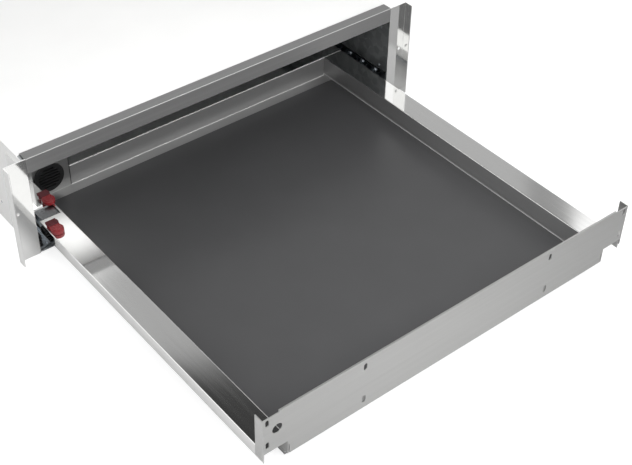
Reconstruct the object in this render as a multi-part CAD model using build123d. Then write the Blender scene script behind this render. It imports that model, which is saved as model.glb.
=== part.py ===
from build123d import *
import os
from math import cos, pi, radians, sin

# Built-in warming drawer, shown with its drawer pulled out.
# Millimetres. X runs across the front, +Y into the cabinet, +Z up.
# The origin lies on the casing's underside, at its middle, in the plane of the
# cabinet's front edges, which is also the back of the two mounting brackets.

# ---- driving sizes: frame ------------------------------------------------
FRAME_WIDTH = 595.0          # over the outer edges of the two brackets
FRAME_HEIGHT = 138.0
FRAME_SHEET = 1.2
BRACKET_FACE = 27.5          # width of each bracket's front plate
BRACKET_FOLD = 11.5          # outer edge, folded towards the room
BRACKET_LEG = 38.0           # leg that runs back along the casing
BRACKET_LEG_MARGIN = 12.0    # leg's ends inside the bracket's height
BEAM_FACE = 20.3             # height of the beam's front face
BEAM_DEPTH = 13.0            # depth of its top
CABINET_HOLE = 4.5           # diameter
CABINET_HOLE_INSET = 7.5     # hole's centre from the frame's outer edge

# ---- driving sizes: casing -----------------------------------------------
CASING_INSET = 23.5          # casing's side inside the frame's outer edge
CASING_DEPTH = 560.0
CASING_SHEET = 1.0
CASING_LIP = 14.0            # lip folded inwards along the top of each side
FLOOR_LIP = 12.0             # lip folded inwards along the bottom of each side
TOP_DROP = 1.5               # casing top below the beam's top
REAR_ROOM = 37.1             # depth of the fan compartment, with the baffle
REAR_LIP = 12.0              # lips of the rear panel, folded forwards
REAR_LIP_MARGIN = 1.0        # those lips stay clear of the side walls' lips
BAFFLE_FOOT = 12.0

# ---- driving sizes: drawer -----------------------------------------------
DRAWER_SHEET = 1.0
CLOSED_FRONT = 13.2          # closed front wall, in front of the cabinet's front
SIDE_GAP = 12.7              # drawer skirt to casing wall
SHELF_WIDTH = 31.3
RECESS_REAR = 84.8           # recess's back wall, behind the cabinet's front
RIM_DEPTH = 20.0             # rim behind the recess
RECESS_SETBACK = 6.7         # recess's front wall, behind the front wall
TRAY_CLEAR = 2.8             # under the tray
SHELF_TOP = 34.3             # height of the shelves above the base
SKIRT = 16.0
EDGE_ROUND = 0.9
PLATE_THICK = 2.5
PLATE_GAP = 0.5
PLATE_REAR_STRIP = 18.0      # bare steel left behind the plate
NOTCH_FRONT = 12.0           # notch in the left shelf
NOTCH_LENGTH = 20.0
NOTCH_WALL = 2.0             # shelf left beside the recess at the notch

WALL_OVERHANG = 1.7          # front wall's ends outside the skirts
WALL_TOP = 83.5
WALL_END_TOP = 81.7          # lower where the folded ends start
WALL_END_BOTTOM = 32.0
TONGUE_BOTTOM = 12.7
HEM_END = 21.0               # wall's end to the hem's end
HEM_DEPTH = 6.0
RETURN_DEPTH = 11.0
RETURN_BOTTOM = 24.0
TAB_GAP = 0.2                # tongue's folded ends to the recess walls
SLIT_WIDTH = 1.3
SLIT_HEIGHT = 13.0
SLOT_WIDTH = 4.4
SLOT_LENGTH = 9.4
END_SLOT_INSET = 6.0         # from the wall's end
END_SLOT_LOW = 43.0
END_SLOT_SPACING = 32.0
MID_SLOT_X = 133.5
MID_SLOT_LOW = 26.0
MID_SLOT_SPACING = 47.0
LAMP_HOLE = 12.5             # diameter
LAMP_HOLE_INSET = 18.2
LAMP_HOLE_Z = 60.1

BOX_WIDTH = 51.0             # duct box at the back left of the recess
BOX_TOP = 76.0
PORT_HOLE = 36.0
PORT_GRILLE = 41.0
PORT_INSET = 21.5            # port's centre from the recess's left wall
PORT_HEIGHT = 30.5
GRILLE_THICK = 2.5
GRILLE_SLOTS = 7
GRILLE_SLOT = 2.2

# ---- driving sizes: runners ----------------------------------------------
RAIL_REAR_ROOM = 67.9        # behind the fixed rail, to the baffle
RAIL_FRONT = 4.0             # fixed rail's front end, behind the cabinet's front
RAIL_SHEET = 1.2
RAIL_CLEAR = 3.0             # rail to recess wall and to skirt
RAIL_WALL = 10.3             # upright walls of the fixed rail
DRAWER_RAIL_WALL = 13.1
BALL = 3.2                   # diameter
BALL_CLEAR = 0.1
BALL_PITCH = 22.0
BALLS_PER_ROW = 8
CAGE_SHEET = 0.6
CAGE_GAP = 0.8               # cage plate over the fixed rail's base
CAGE_ARM = 6.5
CAGE_END = 7.0               # cage to the rail's end when the drawer is open
CAGE_WINDOW = 12.0           # length of the windows in a cage's plate
CAGE_WINDOW_INSET = 3.0
BALL_HOLE_CLEAR = 0.15
FLANGE_GAP = 1.0             # cage plate to middle rail
MID_FLANGE = 3.4
MID_WEB = 2.0
MID_HEIGHT = 20.4
RAIL_LEG_TOP = 34.0

# ---- driving sizes: catches, fan, heater and small parts -------------------
CATCH_BOSS = 7.8             # radius
CATCH_ARM = 18.4
CATCH_TIP = 6.8              # radius
CATCH_THICK = 5.0
CATCH_RIBS = 5
PIVOT = 2.5                  # radius
PIVOT_FIT = 0.06             # running clearance of pins and shafts
PIVOT_HEAD = 4.2             # radius
CATCH_LIFT = 0.3             # catch above the shelf
FRONT_CATCH_INSET = 8.3      # front catch's pin from the shelf's outer edge
FRONT_CATCH_Y = -16.5
REAR_CATCH_INSET = 4.5       # rear catch's pin from the recess
REAR_CATCH_Y = 37.0

IMPELLER = 88.0              # diameter
IMPELLER_WIDTH = 11.0
BLADES = 22
FAN_WALL = 1.2
FAN_DEPTH = 20.0
FAN_ROOM = 7.0               # housing wall to impeller tips
FAN_ASIDE = 77.5             # fan's axis from the duct's side
FAN_Z = 70.0
SHAFT = 2.5                  # radius
MOTOR = 50.0                 # diameter
MOTOR_DEPTH = 12.0
INLET = 52.0                 # diameter
HEATER_TUBE = 6.5            # diameter
DUCT_WIDTH = 70.0
DUCT_HEIGHT = 62.0
DUCT_DEPTH = 30.0

STOP_GAP = 0.3               # closed drawer to buffers and plungers
BUFFER = 10.0                # diameter
BUFFER_DEPTH = 3.8           # in front of the baffle
BUFFER_INSET = 64.0          # buffer's centre from the recess's side
STRIKE_Z = 27.0              # height at which the drawer meets its stops
LATCH_X = 0.0
LATCH_TRAVEL = 3.0
LATCH_PIN = 4.0              # radius
SWITCH_X = 105.0
SWITCH_TRAVEL = 2.5
SWITCH_PIN = 1.8             # radius
SCREW = 2.0                  # shank radius of the casing screws
SCREW_HEAD = 3.8             # head radius
SCREW_HEAD_HEIGHT = 2.2

# ---- sizes worked out from those ------------------------------------------
CASING_WIDTH = FRAME_WIDTH - 2 * CASING_INSET
CABINET_HOLE_SPACING = FRAME_WIDTH - 2 * CABINET_HOLE_INSET
WALL_IN = CASING_WIDTH / 2 - CASING_SHEET            # casing wall, inner face
CASING_TOP = FRAME_HEIGHT - TOP_DROP
LIP_TOP = CASING_TOP - CASING_SHEET                  # the top lies on this
LIP_UNDER = LIP_TOP - CASING_SHEET
FLOOR_LIP_TOP = 2 * CASING_SHEET
OPENING_HALF = FRAME_WIDTH / 2 - BRACKET_FACE

REAR_IN = CASING_DEPTH - CASING_SHEET                # rear panel, inner face
BAFFLE = REAR_IN - REAR_ROOM
BAFFLE_BACK = BAFFLE + CASING_SHEET
STRIKE_Y = BAFFLE - BUFFER_DEPTH                     # where the closed drawer stops
TRAY_REAR = RECESS_REAR + RIM_DEPTH
TRAVEL = STRIKE_Y - STOP_GAP - TRAY_REAR             # shown fully open
FRONT_OUT = TRAVEL + CLOSED_FRONT                    # front wall's outer face

SKIRT_OUT = WALL_IN - SIDE_GAP                       # drawer's half width
SKIRT_IN = SKIRT_OUT - DRAWER_SHEET
RECESS_HALF = SKIRT_OUT - SHELF_WIDTH                # half the recess's width
RECESS_OUT = RECESS_HALF + DRAWER_SHEET
SHELF_UNDER = SHELF_TOP - DRAWER_SHEET
TRAY_BOTTOM = CASING_SHEET + TRAY_CLEAR
TRAY_FLOOR = TRAY_BOTTOM + DRAWER_SHEET
WALL_BACK = -FRONT_OUT + DRAWER_SHEET                # front wall, inner face
RECESS_FRONT = -FRONT_OUT + RECESS_SETBACK + DRAWER_SHEET
PLATE_TOP = TRAY_FLOOR + PLATE_THICK
TONGUE_HALF = RECESS_OUT + DRAWER_SHEET + TAB_GAP
WALL_HALF = SKIRT_OUT + WALL_OVERHANG                # front wall, half width
HEM_HALF = WALL_HALF - HEM_END
END_SLOT_X = WALL_HALF - END_SLOT_INSET
LAMP_HOLE_X = -WALL_HALF + LAMP_HOLE_INSET
BOX_LEFT = -RECESS_HALF
BOX_RIGHT = BOX_LEFT + BOX_WIDTH
PORT_X = BOX_LEFT + PORT_INSET
FAN_X = PORT_X + DUCT_WIDTH / 2 + FAN_ASIDE
BUFFER_X = RECESS_HALF - BUFFER_INSET
FRONT_CATCH = (-SKIRT_OUT + FRONT_CATCH_INSET, FRONT_CATCH_Y)
REAR_CATCH = (-RECESS_HALF - REAR_CATCH_INSET, REAR_CATCH_Y)

RAIL_IN = RECESS_OUT + RAIL_CLEAR                    # rail side nearer the recess
RAIL_OUT = SKIRT_IN - RAIL_CLEAR
RAIL_BASE = FLOOR_LIP_TOP                            # fixed rail stands here
RAIL_BASE_TOP = RAIL_BASE + RAIL_SHEET
CHANNEL_IN = RAIL_IN + RAIL_SHEET                    # inside faces of the channels
CHANNEL_OUT = RAIL_OUT - RAIL_SHEET
RACE = BALL + 2 * BALL_CLEAR                         # room for one ball
MID_IN = CHANNEL_IN + RACE
MID_OUT = CHANNEL_OUT - RACE
LOW_CAGE = RAIL_BASE_TOP + CAGE_GAP                  # cage plate's underside
MID_LOW = LOW_CAGE + CAGE_SHEET + FLANGE_GAP
MID_HIGH = MID_LOW + MID_HEIGHT
HIGH_CAGE = MID_HIGH + FLANGE_GAP
LOW_BALL_Z = MID_LOW + MID_FLANGE / 2
HIGH_BALL_Z = MID_HIGH - MID_FLANGE / 2
RAIL_LENGTH = BAFFLE - RAIL_REAR_ROOM - RAIL_FRONT
CAGE_LENGTH = BALLS_PER_ROW * BALL_PITCH
LOW_CAGE_FRONT = RAIL_FRONT + CAGE_END
HIGH_CAGE_FRONT = RAIL_FRONT + RAIL_LENGTH - TRAVEL - CAGE_END - CAGE_LENGTH


def block(x0, x1, y0, y1, z0, z1):
    """Box between two corners."""
    return Pos((x0 + x1) / 2, (y0 + y1) / 2, (z0 + z1) / 2) * Box(x1 - x0, y1 - y0, z1 - z0)


def rod(radius, start, end):
    """Round bar between two points on one row axis."""
    start, end = Vector(*start), Vector(*end)
    along = end - start
    return Plane(origin=start, z_dir=along) * Cylinder(
        radius, along.length, align=(Align.CENTER, Align.CENTER, Align.MIN)
    )


def slot_y(x, y, z, width, length, depth):
    """Upright round-ended slot through a plate that faces Y."""
    straight = length - width
    shape = Box(width, depth, straight)
    for end in (-straight / 2, straight / 2):
        shape += Pos(0, 0, end) * Rot(90, 0, 0) * Cylinder(width / 2, depth)
    return Pos(x, y, z) * shape


def edges_at(part, axis, **place):
    """Edges along an axis whose middle lies at the given x, y or z."""
    chosen = []
    for edge in part.edges().filter_by(axis):
        middle = edge.center()
        if all(abs(getattr(middle, name.upper()) - value) < 0.01 for name, value in place.items()):
            chosen.append(edge)
    return chosen


def mirrored(part):
    """The right-hand piece made from a left-hand one, or the other way round."""
    return part.mirror(Plane.YZ)


def pan_screw(point, direction, length=6.0, shank=SCREW, head=SCREW_HEAD, height=SCREW_HEAD_HEIGHT):
    """Pan-head screw: the head's underside lies at the point, the shank runs along direction."""
    point, direction = Vector(*point), Vector(*direction)
    seat = Plane(origin=point, z_dir=direction)
    body = seat * Cylinder(shank, length, align=(Align.CENTER, Align.CENTER, Align.MIN))
    cap = Pos(0, 0, -height) * Cylinder(head, height, align=(Align.CENTER, Align.CENTER, Align.MIN))
    cap = fillet(cap.edges().filter_by(GeomType.CIRCLE).group_by(Axis.Z)[0], height * 0.45)
    for turn in (0, 90):
        cap -= Pos(0, 0, -height) * Rot(0, 0, turn) * Box(head * 1.1, head * 0.22, height * 0.9)
    return body + seat * cap


# ---- frame ------------------------------------------------------------------
def front_beam():
    """Channel across the top of the opening: face, top and a short rear fold."""
    face = block(-OPENING_HALF, OPENING_HALF, -FRAME_SHEET, 0, FRAME_HEIGHT - BEAM_FACE, FRAME_HEIGHT)
    top = block(-OPENING_HALF, OPENING_HALF, -FRAME_SHEET, BEAM_DEPTH, FRAME_HEIGHT - FRAME_SHEET, FRAME_HEIGHT)
    back = block(-OPENING_HALF, OPENING_HALF, BEAM_DEPTH - FRAME_SHEET, BEAM_DEPTH, LIP_TOP, FRAME_HEIGHT)
    beam = face + top + back
    return fillet(edges_at(beam, Axis.X, y=-FRAME_SHEET, z=FRAME_HEIGHT), EDGE_ROUND)


def right_bracket():
    """Plate on the cabinet's edge, fold towards the room, leg back along the casing."""
    outer = FRAME_WIDTH / 2
    plate = block(OPENING_HALF, outer, -FRAME_SHEET, 0, 0, FRAME_HEIGHT)
    fold = block(outer - FRAME_SHEET, outer, -FRAME_SHEET - BRACKET_FOLD, 0, 0, FRAME_HEIGHT)
    leg_in = CASING_WIDTH / 2
    leg = block(leg_in, leg_in + FRAME_SHEET, 0, BRACKET_LEG, BRACKET_LEG_MARGIN, FRAME_HEIGHT - BRACKET_LEG_MARGIN)
    bracket = plate + fold
    bracket = fillet(edges_at(bracket, Axis.Z, x=outer, y=0), EDGE_ROUND)
    bracket += leg
    bracket -= rod(CABINET_HOLE / 2, (CABINET_HOLE_SPACING / 2, -5, FRAME_HEIGHT / 2),
                   (CABINET_HOLE_SPACING / 2, 5, FRAME_HEIGHT / 2))
    for z in bracket_screw_heights():
        bracket -= rod(SCREW, (leg_in - 1, BRACKET_LEG / 2, z), (leg_in + 3, BRACKET_LEG / 2, z))
    return bracket


def bracket_screw_heights():
    return FRAME_HEIGHT * 0.28, FRAME_HEIGHT * 0.72


# ---- casing -----------------------------------------------------------------
def casing_floor():
    return block(-WALL_IN, WALL_IN, 0, REAR_IN, 0, CASING_SHEET)


def rail_screw_places():
    """Places along a fixed rail where it is screwed to the casing wall."""
    return [RAIL_FRONT + share * RAIL_LENGTH for share in (0.05, 0.11, 0.17, 0.5, 0.93)]


RAIL_SCREW_Z = RAIL_LEG_TOP - 7


def casing_right_wall():
    """Side sheet with a lip under the top and a lip on the floor."""
    web = block(WALL_IN, WALL_IN + CASING_SHEET, 0, CASING_DEPTH, 0, LIP_TOP)
    top_lip = block(WALL_IN - CASING_LIP, WALL_IN, 0, CASING_DEPTH - CASING_SHEET, LIP_UNDER, LIP_TOP)
    low_lip = block(WALL_IN - FLOOR_LIP, WALL_IN, 0, REAR_IN, CASING_SHEET, FLOOR_LIP_TOP)
    wall = web + top_lip + low_lip
    for z in bracket_screw_heights():
        wall -= rod(SCREW, (WALL_IN - 1, BRACKET_LEG / 2, z), (WALL_IN + 2, BRACKET_LEG / 2, z))
    for y in rail_screw_places():
        wall -= rod(SCREW, (WALL_IN - 1, y, RAIL_SCREW_Z), (WALL_IN + 2, y, RAIL_SCREW_Z))
    for y in top_screw_places():
        wall -= rod(SCREW, (TOP_SCREW_X, y, LIP_UNDER - 1), (TOP_SCREW_X, y, LIP_TOP + 1))
    return wall


TOP_SCREW_X = WALL_IN - CASING_LIP / 2


def top_screw_places():
    return [CASING_DEPTH * share for share in (0.66, 0.81, 0.96)]


BEAD = 16.0                  # width of the pressed stiffening beads
BEAD_RISE = 1.2
LOUVRES = 12
LOUVRE_PITCH = 18.0
LOUVRE_WIDTH = 4.0
LOUVRE_LENGTH = 26.0


def casing_top():
    """Top sheet behind the beam, with pressed beads and a row of vent slots near the back."""
    top = block(-CASING_WIDTH / 2, CASING_WIDTH / 2, BEAM_DEPTH, CASING_DEPTH, LIP_TOP, CASING_TOP)
    bead_half = CASING_WIDTH * 0.38
    for share in (0.68, 0.78):
        bead = block(-bead_half, bead_half, CASING_DEPTH * share - BEAD / 2,
                     CASING_DEPTH * share + BEAD / 2, LIP_TOP, CASING_TOP + BEAD_RISE)
        bead = chamfer(bead.faces().sort_by(Axis.Z)[-1].edges(), BEAD_RISE * 0.9)
        top += bead
    front = CASING_DEPTH * 0.87
    for index in range(LOUVRES):
        x = (index - (LOUVRES - 1) / 2) * LOUVRE_PITCH
        top -= block(x - LOUVRE_WIDTH / 2, x + LOUVRE_WIDTH / 2, front, front + LOUVRE_LENGTH,
                     LIP_TOP - 1, CASING_TOP + 1)
    for y in top_screw_places():
        for side in (-1, 1):
            top -= rod(SCREW, (side * TOP_SCREW_X, y, LIP_TOP - 1), (side * TOP_SCREW_X, y, CASING_TOP + 1))
    return top


GLAND_INSET = 69.0           # gland's axis from the casing's side
GLAND_X = CASING_WIDTH / 2 - GLAND_INSET
GLAND_Z = 34.0
GLAND_THREAD = 6.0           # radius
GLAND_BORE = 4.2             # radius, for the mains lead
GLAND_LENGTH = 18.0
REAR_SCREW_HEIGHTS = (30.0, 105.0)
VENT_WIDTH = 4.0
VENT_LENGTH = 14.0
VENT_COLUMN = 12.0
VENT_ROW = 18.0


def casing_rear_panel():
    """Rear sheet between the side walls, with lips forward, vents and the gland's hole."""
    panel = block(-WALL_IN, WALL_IN, REAR_IN, CASING_DEPTH, 0, LIP_TOP)
    for side in (-1, 1):
        inner, outer = sorted((side * (WALL_IN - CASING_SHEET), side * WALL_IN))
        panel += block(inner, outer, REAR_IN - REAR_LIP, REAR_IN, FLOOR_LIP_TOP + REAR_LIP_MARGIN, LIP_UNDER - REAR_LIP_MARGIN)
        for z in REAR_SCREW_HEIGHTS:
            panel -= rod(SCREW, (side * (WALL_IN - 3), REAR_IN - REAR_LIP / 2, z),
                         (side * (WALL_IN + 1), REAR_IN - REAR_LIP / 2, z))
    for column in range(8):
        for row in range(3):
            x = FAN_X + (column - 3.5) * VENT_COLUMN
            z = FAN_Z + (row - 1.2) * VENT_ROW
            panel -= slot_y(x, CASING_DEPTH, z, VENT_WIDTH, VENT_LENGTH, 6 * CASING_SHEET)
    panel -= rod(GLAND_THREAD + 0.1, (GLAND_X, REAR_IN - 2, GLAND_Z), (GLAND_X, CASING_DEPTH + 2, GLAND_Z))
    return panel


def casing_screws():
    """Screws of the casing's top and of its rear panel."""
    screws = []
    for side in (-1, 1):
        for y in top_screw_places():
            screws.append(pan_screw((side * TOP_SCREW_X, y, CASING_TOP), (0, 0, -1), head=3.4, height=1.4))
        for z in REAR_SCREW_HEIGHTS:
            start = (side * (WALL_IN + CASING_SHEET), REAR_IN - REAR_LIP / 2, z)
            screws.append(pan_screw(start, (-side, 0, 0)))
    return screws


def wall_rear_holes(wall):
    """Clear the rear panel's screws through a right-hand side wall."""
    for z in REAR_SCREW_HEIGHTS:
        wall -= rod(SCREW, (WALL_IN - 1, REAR_IN - REAR_LIP / 2, z), (WALL_IN + 2, REAR_IN - REAR_LIP / 2, z))
    return wall


def bracket_screws():
    """Screws through each bracket's leg into the casing wall."""
    screws = []
    for side in (-1, 1):
        for z in bracket_screw_heights():
            start = (side * (CASING_WIDTH / 2 + FRAME_SHEET), BRACKET_LEG / 2, z)
            screws.append(pan_screw(start, (-side, 0, 0), length=3.5))
    return screws


# ---- runners (right-hand side, mirrored for the left) -------------------------
def right_fixed_rail():
    """Channel under the shelf, with a base that runs to the casing wall and a leg up it."""
    rear = RAIL_FRONT + RAIL_LENGTH
    base = block(RAIL_IN, WALL_IN, RAIL_FRONT, rear, RAIL_BASE, RAIL_BASE_TOP)
    walls = block(RAIL_IN, CHANNEL_IN, RAIL_FRONT, rear, RAIL_BASE, RAIL_BASE_TOP + RAIL_WALL)
    walls += block(CHANNEL_OUT, RAIL_OUT, RAIL_FRONT, rear, RAIL_BASE, RAIL_BASE_TOP + RAIL_WALL)
    leg = block(WALL_IN - RAIL_SHEET, WALL_IN, RAIL_FRONT, rear, RAIL_BASE, RAIL_LEG_TOP)
    rail = base + walls + leg
    for y in rail_screw_places():
        rail -= rod(SCREW, (WALL_IN - 3, y, RAIL_SCREW_Z), (WALL_IN + 1, y, RAIL_SCREW_Z))
    for index in range(6):
        y = RAIL_FRONT + RAIL_LENGTH * (0.08 + 0.16 * index)
        rail -= block(RAIL_OUT + 3, WALL_IN - 4, y, y + 18, RAIL_BASE - 1, RAIL_BASE_TOP + 1)
    return rail


def rail_screws():
    """Screws that hold the fixed rails to the casing walls, heads inside."""
    screws = []
    for side in (-1, 1):
        for y in rail_screw_places():
            start = (side * (WALL_IN - RAIL_SHEET), y, RAIL_SCREW_Z)
            screws.append(pan_screw(start, (side, 0, 0), length=RAIL_SHEET + CASING_SHEET))
    return screws


def right_mid_rail():
    """I-section between the fixed rail and the drawer rail."""
    front = RAIL_FRONT - TRAVEL / 2
    rear = front + RAIL_LENGTH
    middle = (MID_IN + MID_OUT) / 2
    rail = block(MID_IN, MID_OUT, front, rear, MID_LOW, MID_LOW + MID_FLANGE)
    rail += block(MID_IN, MID_OUT, front, rear, MID_HIGH - MID_FLANGE, MID_HIGH)
    rail += block(middle - MID_WEB / 2, middle + MID_WEB / 2, front, rear, MID_LOW, MID_HIGH)
    return rail


def right_drawer_rail():
    """Inverted channel under the shelf, welded to it."""
    front = RAIL_FRONT - TRAVEL
    rear = front + RAIL_LENGTH
    low = SHELF_UNDER - RAIL_SHEET - DRAWER_RAIL_WALL
    rail = block(RAIL_IN, RAIL_OUT, front, rear, SHELF_UNDER - RAIL_SHEET, SHELF_UNDER)
    rail += block(RAIL_IN, CHANNEL_IN, front, rear, low, SHELF_UNDER)
    rail += block(CHANNEL_OUT, RAIL_OUT, front, rear, low, SHELF_UNDER)
    return rail


def ball_places(front):
    return [front + BALL_PITCH * (index + 0.5) for index in range(BALLS_PER_ROW)]


def right_cage(front, plate, arm_low, arm_high, ball_z):
    """Bent strip that keeps two rows of balls apart."""
    in_x = CHANNEL_IN + RACE / 2
    out_x = CHANNEL_OUT - RACE / 2
    half = CAGE_SHEET / 2
    rear = front + CAGE_LENGTH
    cage = block(in_x - half, out_x + half, front, rear, plate, plate + CAGE_SHEET)
    for x in (in_x, out_x):
        cage += block(x - half, x + half, front, rear, arm_low, arm_high)
        for y in ball_places(front):
            cage -= rod(BALL / 2 + BALL_HOLE_CLEAR, (x - CAGE_SHEET, y, ball_z), (x + CAGE_SHEET, y, ball_z))
    for y in ball_places(front)[:-1]:
        middle = y + BALL_PITCH / 2
        cage -= block(in_x + CAGE_WINDOW_INSET, out_x - CAGE_WINDOW_INSET, middle - CAGE_WINDOW / 2,
                      middle + CAGE_WINDOW / 2, plate - CAGE_SHEET, plate + 2 * CAGE_SHEET)
    return cage


def right_low_cage():
    return right_cage(LOW_CAGE_FRONT, LOW_CAGE, LOW_CAGE, LOW_CAGE + CAGE_ARM, LOW_BALL_Z)


def right_high_cage():
    top = HIGH_CAGE + CAGE_SHEET
    return right_cage(HIGH_CAGE_FRONT, HIGH_CAGE, top - CAGE_ARM, top, HIGH_BALL_Z)


def balls(side, front, z):
    """Two rows of balls of one cage."""
    rows = []
    for x in (CHANNEL_IN + RACE / 2, CHANNEL_OUT - RACE / 2):
        for y in ball_places(front):
            rows.append(Pos(side * x, y, z) * Sphere(BALL / 2))
    return rows


STOP_WIDTH = 8.5
STOP_LENGTH = 14.0
STOP_HEIGHT = 16.0
STOP_SET = 2.0               # behind the rail's front end
STOP_GROOVE = 2.2
STOP_PITCH = 4.4
STOP_SKIN = 2.0              # left behind and beside the grooves


def runner_stops():
    """Black ribbed stop in front of each fixed rail's leg, beside the drawer."""
    stops = []
    outer = WALL_IN - RAIL_SHEET
    inner = outer - STOP_WIDTH
    front = RAIL_FRONT + STOP_SET
    low = RAIL_BASE_TOP
    for side in (-1, 1):
        stop = block(inner, outer, front, front + STOP_LENGTH, low, low + STOP_HEIGHT)
        for step in range(3):
            z = low + STOP_GROOVE * 1.45 + STOP_PITCH * step
            stop -= block(inner - STOP_SKIN, outer - STOP_SKIN, front - STOP_SKIN,
                          front + STOP_LENGTH - STOP_SKIN, z, z + STOP_GROOVE)
        stops.append(stop if side > 0 else mirrored(stop))
    return stops


# ---- drawer -----------------------------------------------------------------
def drawer_tray():
    """Folded and welded sheet: recess, two shelves, rear rim and skirts."""
    t = DRAWER_SHEET
    rear = TRAY_REAR
    skirt_low = SHELF_TOP - SKIRT
    rail_skirt_low = HIGH_CAGE + CAGE_SHEET + 0.7
    tray = block(-RECESS_OUT, RECESS_OUT, RECESS_FRONT - t, rear, TRAY_BOTTOM, TRAY_FLOOR)
    tray += block(-RECESS_OUT, RECESS_OUT, RECESS_FRONT - t, RECESS_FRONT, TRAY_BOTTOM, SHELF_TOP)
    tray += block(-RECESS_OUT, RECESS_OUT, RECESS_REAR, RECESS_REAR + t, TRAY_BOTTOM, SHELF_TOP)
    for side in (-1, 1):
        low, high = sorted((side * RECESS_HALF, side * RECESS_OUT))
        tray += block(low, high, RECESS_FRONT - t, rear, TRAY_BOTTOM, SHELF_TOP)
        low, high = sorted((side * SKIRT_IN, side * SKIRT_OUT))
        tray += block(low, high, WALL_BACK, rear, skirt_low, SHELF_TOP)
    deck = block(-SKIRT_OUT, SKIRT_OUT, WALL_BACK, rear, SHELF_UNDER, SHELF_TOP)
    tray += deck - block(-RECESS_HALF, RECESS_HALF, RECESS_FRONT, RECESS_REAR, SHELF_UNDER - 1, SHELF_TOP + 1)
    # the rear skirt stays above the middle rails, which pass under it
    tray += block(-RECESS_OUT, RECESS_OUT, rear - t, rear, skirt_low, SHELF_TOP)
    tray += block(-SKIRT_OUT, SKIRT_OUT, rear - t, rear, rail_skirt_low, SHELF_TOP)
    rim = edges_at(tray, Axis.X, y=RECESS_REAR, z=SHELF_TOP) + edges_at(tray, Axis.X, y=RECESS_FRONT, z=SHELF_TOP)
    for side in (-1, 1):
        rim += edges_at(tray, Axis.Y, x=side * RECESS_HALF, z=SHELF_TOP)
        rim += edges_at(tray, Axis.Y, x=side * SKIRT_OUT, z=SHELF_TOP)
    tray = fillet(rim, EDGE_ROUND)
    # seat of the duct box: the back wall, rim and rear skirt are open there
    tray -= block(BOX_LEFT, BOX_RIGHT, RECESS_REAR - 0.1, rear + 1, TRAY_FLOOR, SHELF_TOP + 1)
    tray -= block(-SKIRT_OUT - 1, -RECESS_OUT - NOTCH_WALL, NOTCH_FRONT, NOTCH_FRONT + NOTCH_LENGTH,
                  skirt_low - 1, SHELF_TOP + 1)
    for x, y in (FRONT_CATCH, REAR_CATCH):
        tray -= rod(PIVOT, (x, y, SHELF_UNDER - 1), (x, y, SHELF_TOP + 1))
    return tray


def drawer_front_wall():
    """Front sheet: hem at the top, folded ends, lower tongue, slits, slots and a round hole."""
    face, back = -FRONT_OUT, WALL_BACK
    wall = block(-WALL_HALF, WALL_HALF, face, back, WALL_END_BOTTOM, WALL_END_TOP)
    wall += block(-HEM_HALF, HEM_HALF, face, back, WALL_END_BOTTOM, WALL_TOP)
    wall += block(-TONGUE_HALF, TONGUE_HALF, face, back, TONGUE_BOTTOM, WALL_END_BOTTOM)
    for side in (-1, 1):
        low, high = sorted((side * (WALL_HALF - DRAWER_SHEET), side * WALL_HALF))
        wall += block(low, high, face, back + RETURN_DEPTH, RETURN_BOTTOM, WALL_END_TOP)
    wall = fillet(edges_at(wall, Axis.Z, x=WALL_HALF, y=face) + edges_at(wall, Axis.Z, x=-WALL_HALF, y=face),
                  EDGE_ROUND)
    hem = block(-HEM_HALF, HEM_HALF, back, back + DRAWER_SHEET, WALL_TOP - HEM_DEPTH, WALL_TOP)
    wall += hem
    for side in (-1, 1):
        low, high = sorted((side * (TONGUE_HALF - DRAWER_SHEET), side * TONGUE_HALF))
        wall += block(low, high, back, back + RETURN_DEPTH, TONGUE_BOTTOM, WALL_END_BOTTOM)
        slit = side * (TONGUE_HALF - DRAWER_SHEET - SLIT_WIDTH / 2)
        wall -= block(slit - SLIT_WIDTH / 2, slit + SLIT_WIDTH / 2, face - 1, back + 1,
                      TONGUE_BOTTOM - 1, TONGUE_BOTTOM + SLIT_HEIGHT)
        for x, low_z, spacing in ((END_SLOT_X, END_SLOT_LOW, END_SLOT_SPACING),
                                  (MID_SLOT_X, MID_SLOT_LOW, MID_SLOT_SPACING)):
            for z in (low_z, low_z + spacing):
                wall -= slot_y(side * x, face, z, SLOT_WIDTH, SLOT_LENGTH, 4)
    wall -= rod(LAMP_HOLE / 2, (LAMP_HOLE_X, face - 1, LAMP_HOLE_Z), (LAMP_HOLE_X, back + 1, LAMP_HOLE_Z))
    return wall


def base_plate():
    plate = block(-RECESS_HALF + PLATE_GAP, RECESS_HALF - PLATE_GAP, RECESS_FRONT + PLATE_GAP,
                  RECESS_REAR - PLATE_REAR_STRIP, TRAY_FLOOR, PLATE_TOP)
    plate = fillet(plate.edges().filter_by(Axis.Z), 3)
    return fillet(plate.faces().sort_by(Axis.Z)[-1].edges(), 0.5)


def rear_duct_box():
    """Upright box that leads air from the casing's port to the recess."""
    t = DRAWER_SHEET
    rear = TRAY_REAR
    box = block(BOX_LEFT, BOX_RIGHT, RECESS_REAR, RECESS_REAR + t, TRAY_FLOOR, BOX_TOP)
    box += block(BOX_LEFT, BOX_LEFT + t, RECESS_REAR, rear, TRAY_FLOOR, BOX_TOP)
    box += block(BOX_RIGHT - t, BOX_RIGHT, RECESS_REAR, rear, TRAY_FLOOR, BOX_TOP)
    box += block(BOX_LEFT, BOX_RIGHT, RECESS_REAR, rear, BOX_TOP - t, BOX_TOP)
    box = fillet(edges_at(box, Axis.Z, x=BOX_RIGHT, y=RECESS_REAR), EDGE_ROUND)
    box -= rod(PORT_HOLE / 2, (PORT_X, RECESS_REAR - 1, PORT_HEIGHT), (PORT_X, RECESS_REAR + t + 1, PORT_HEIGHT))
    return box


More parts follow.
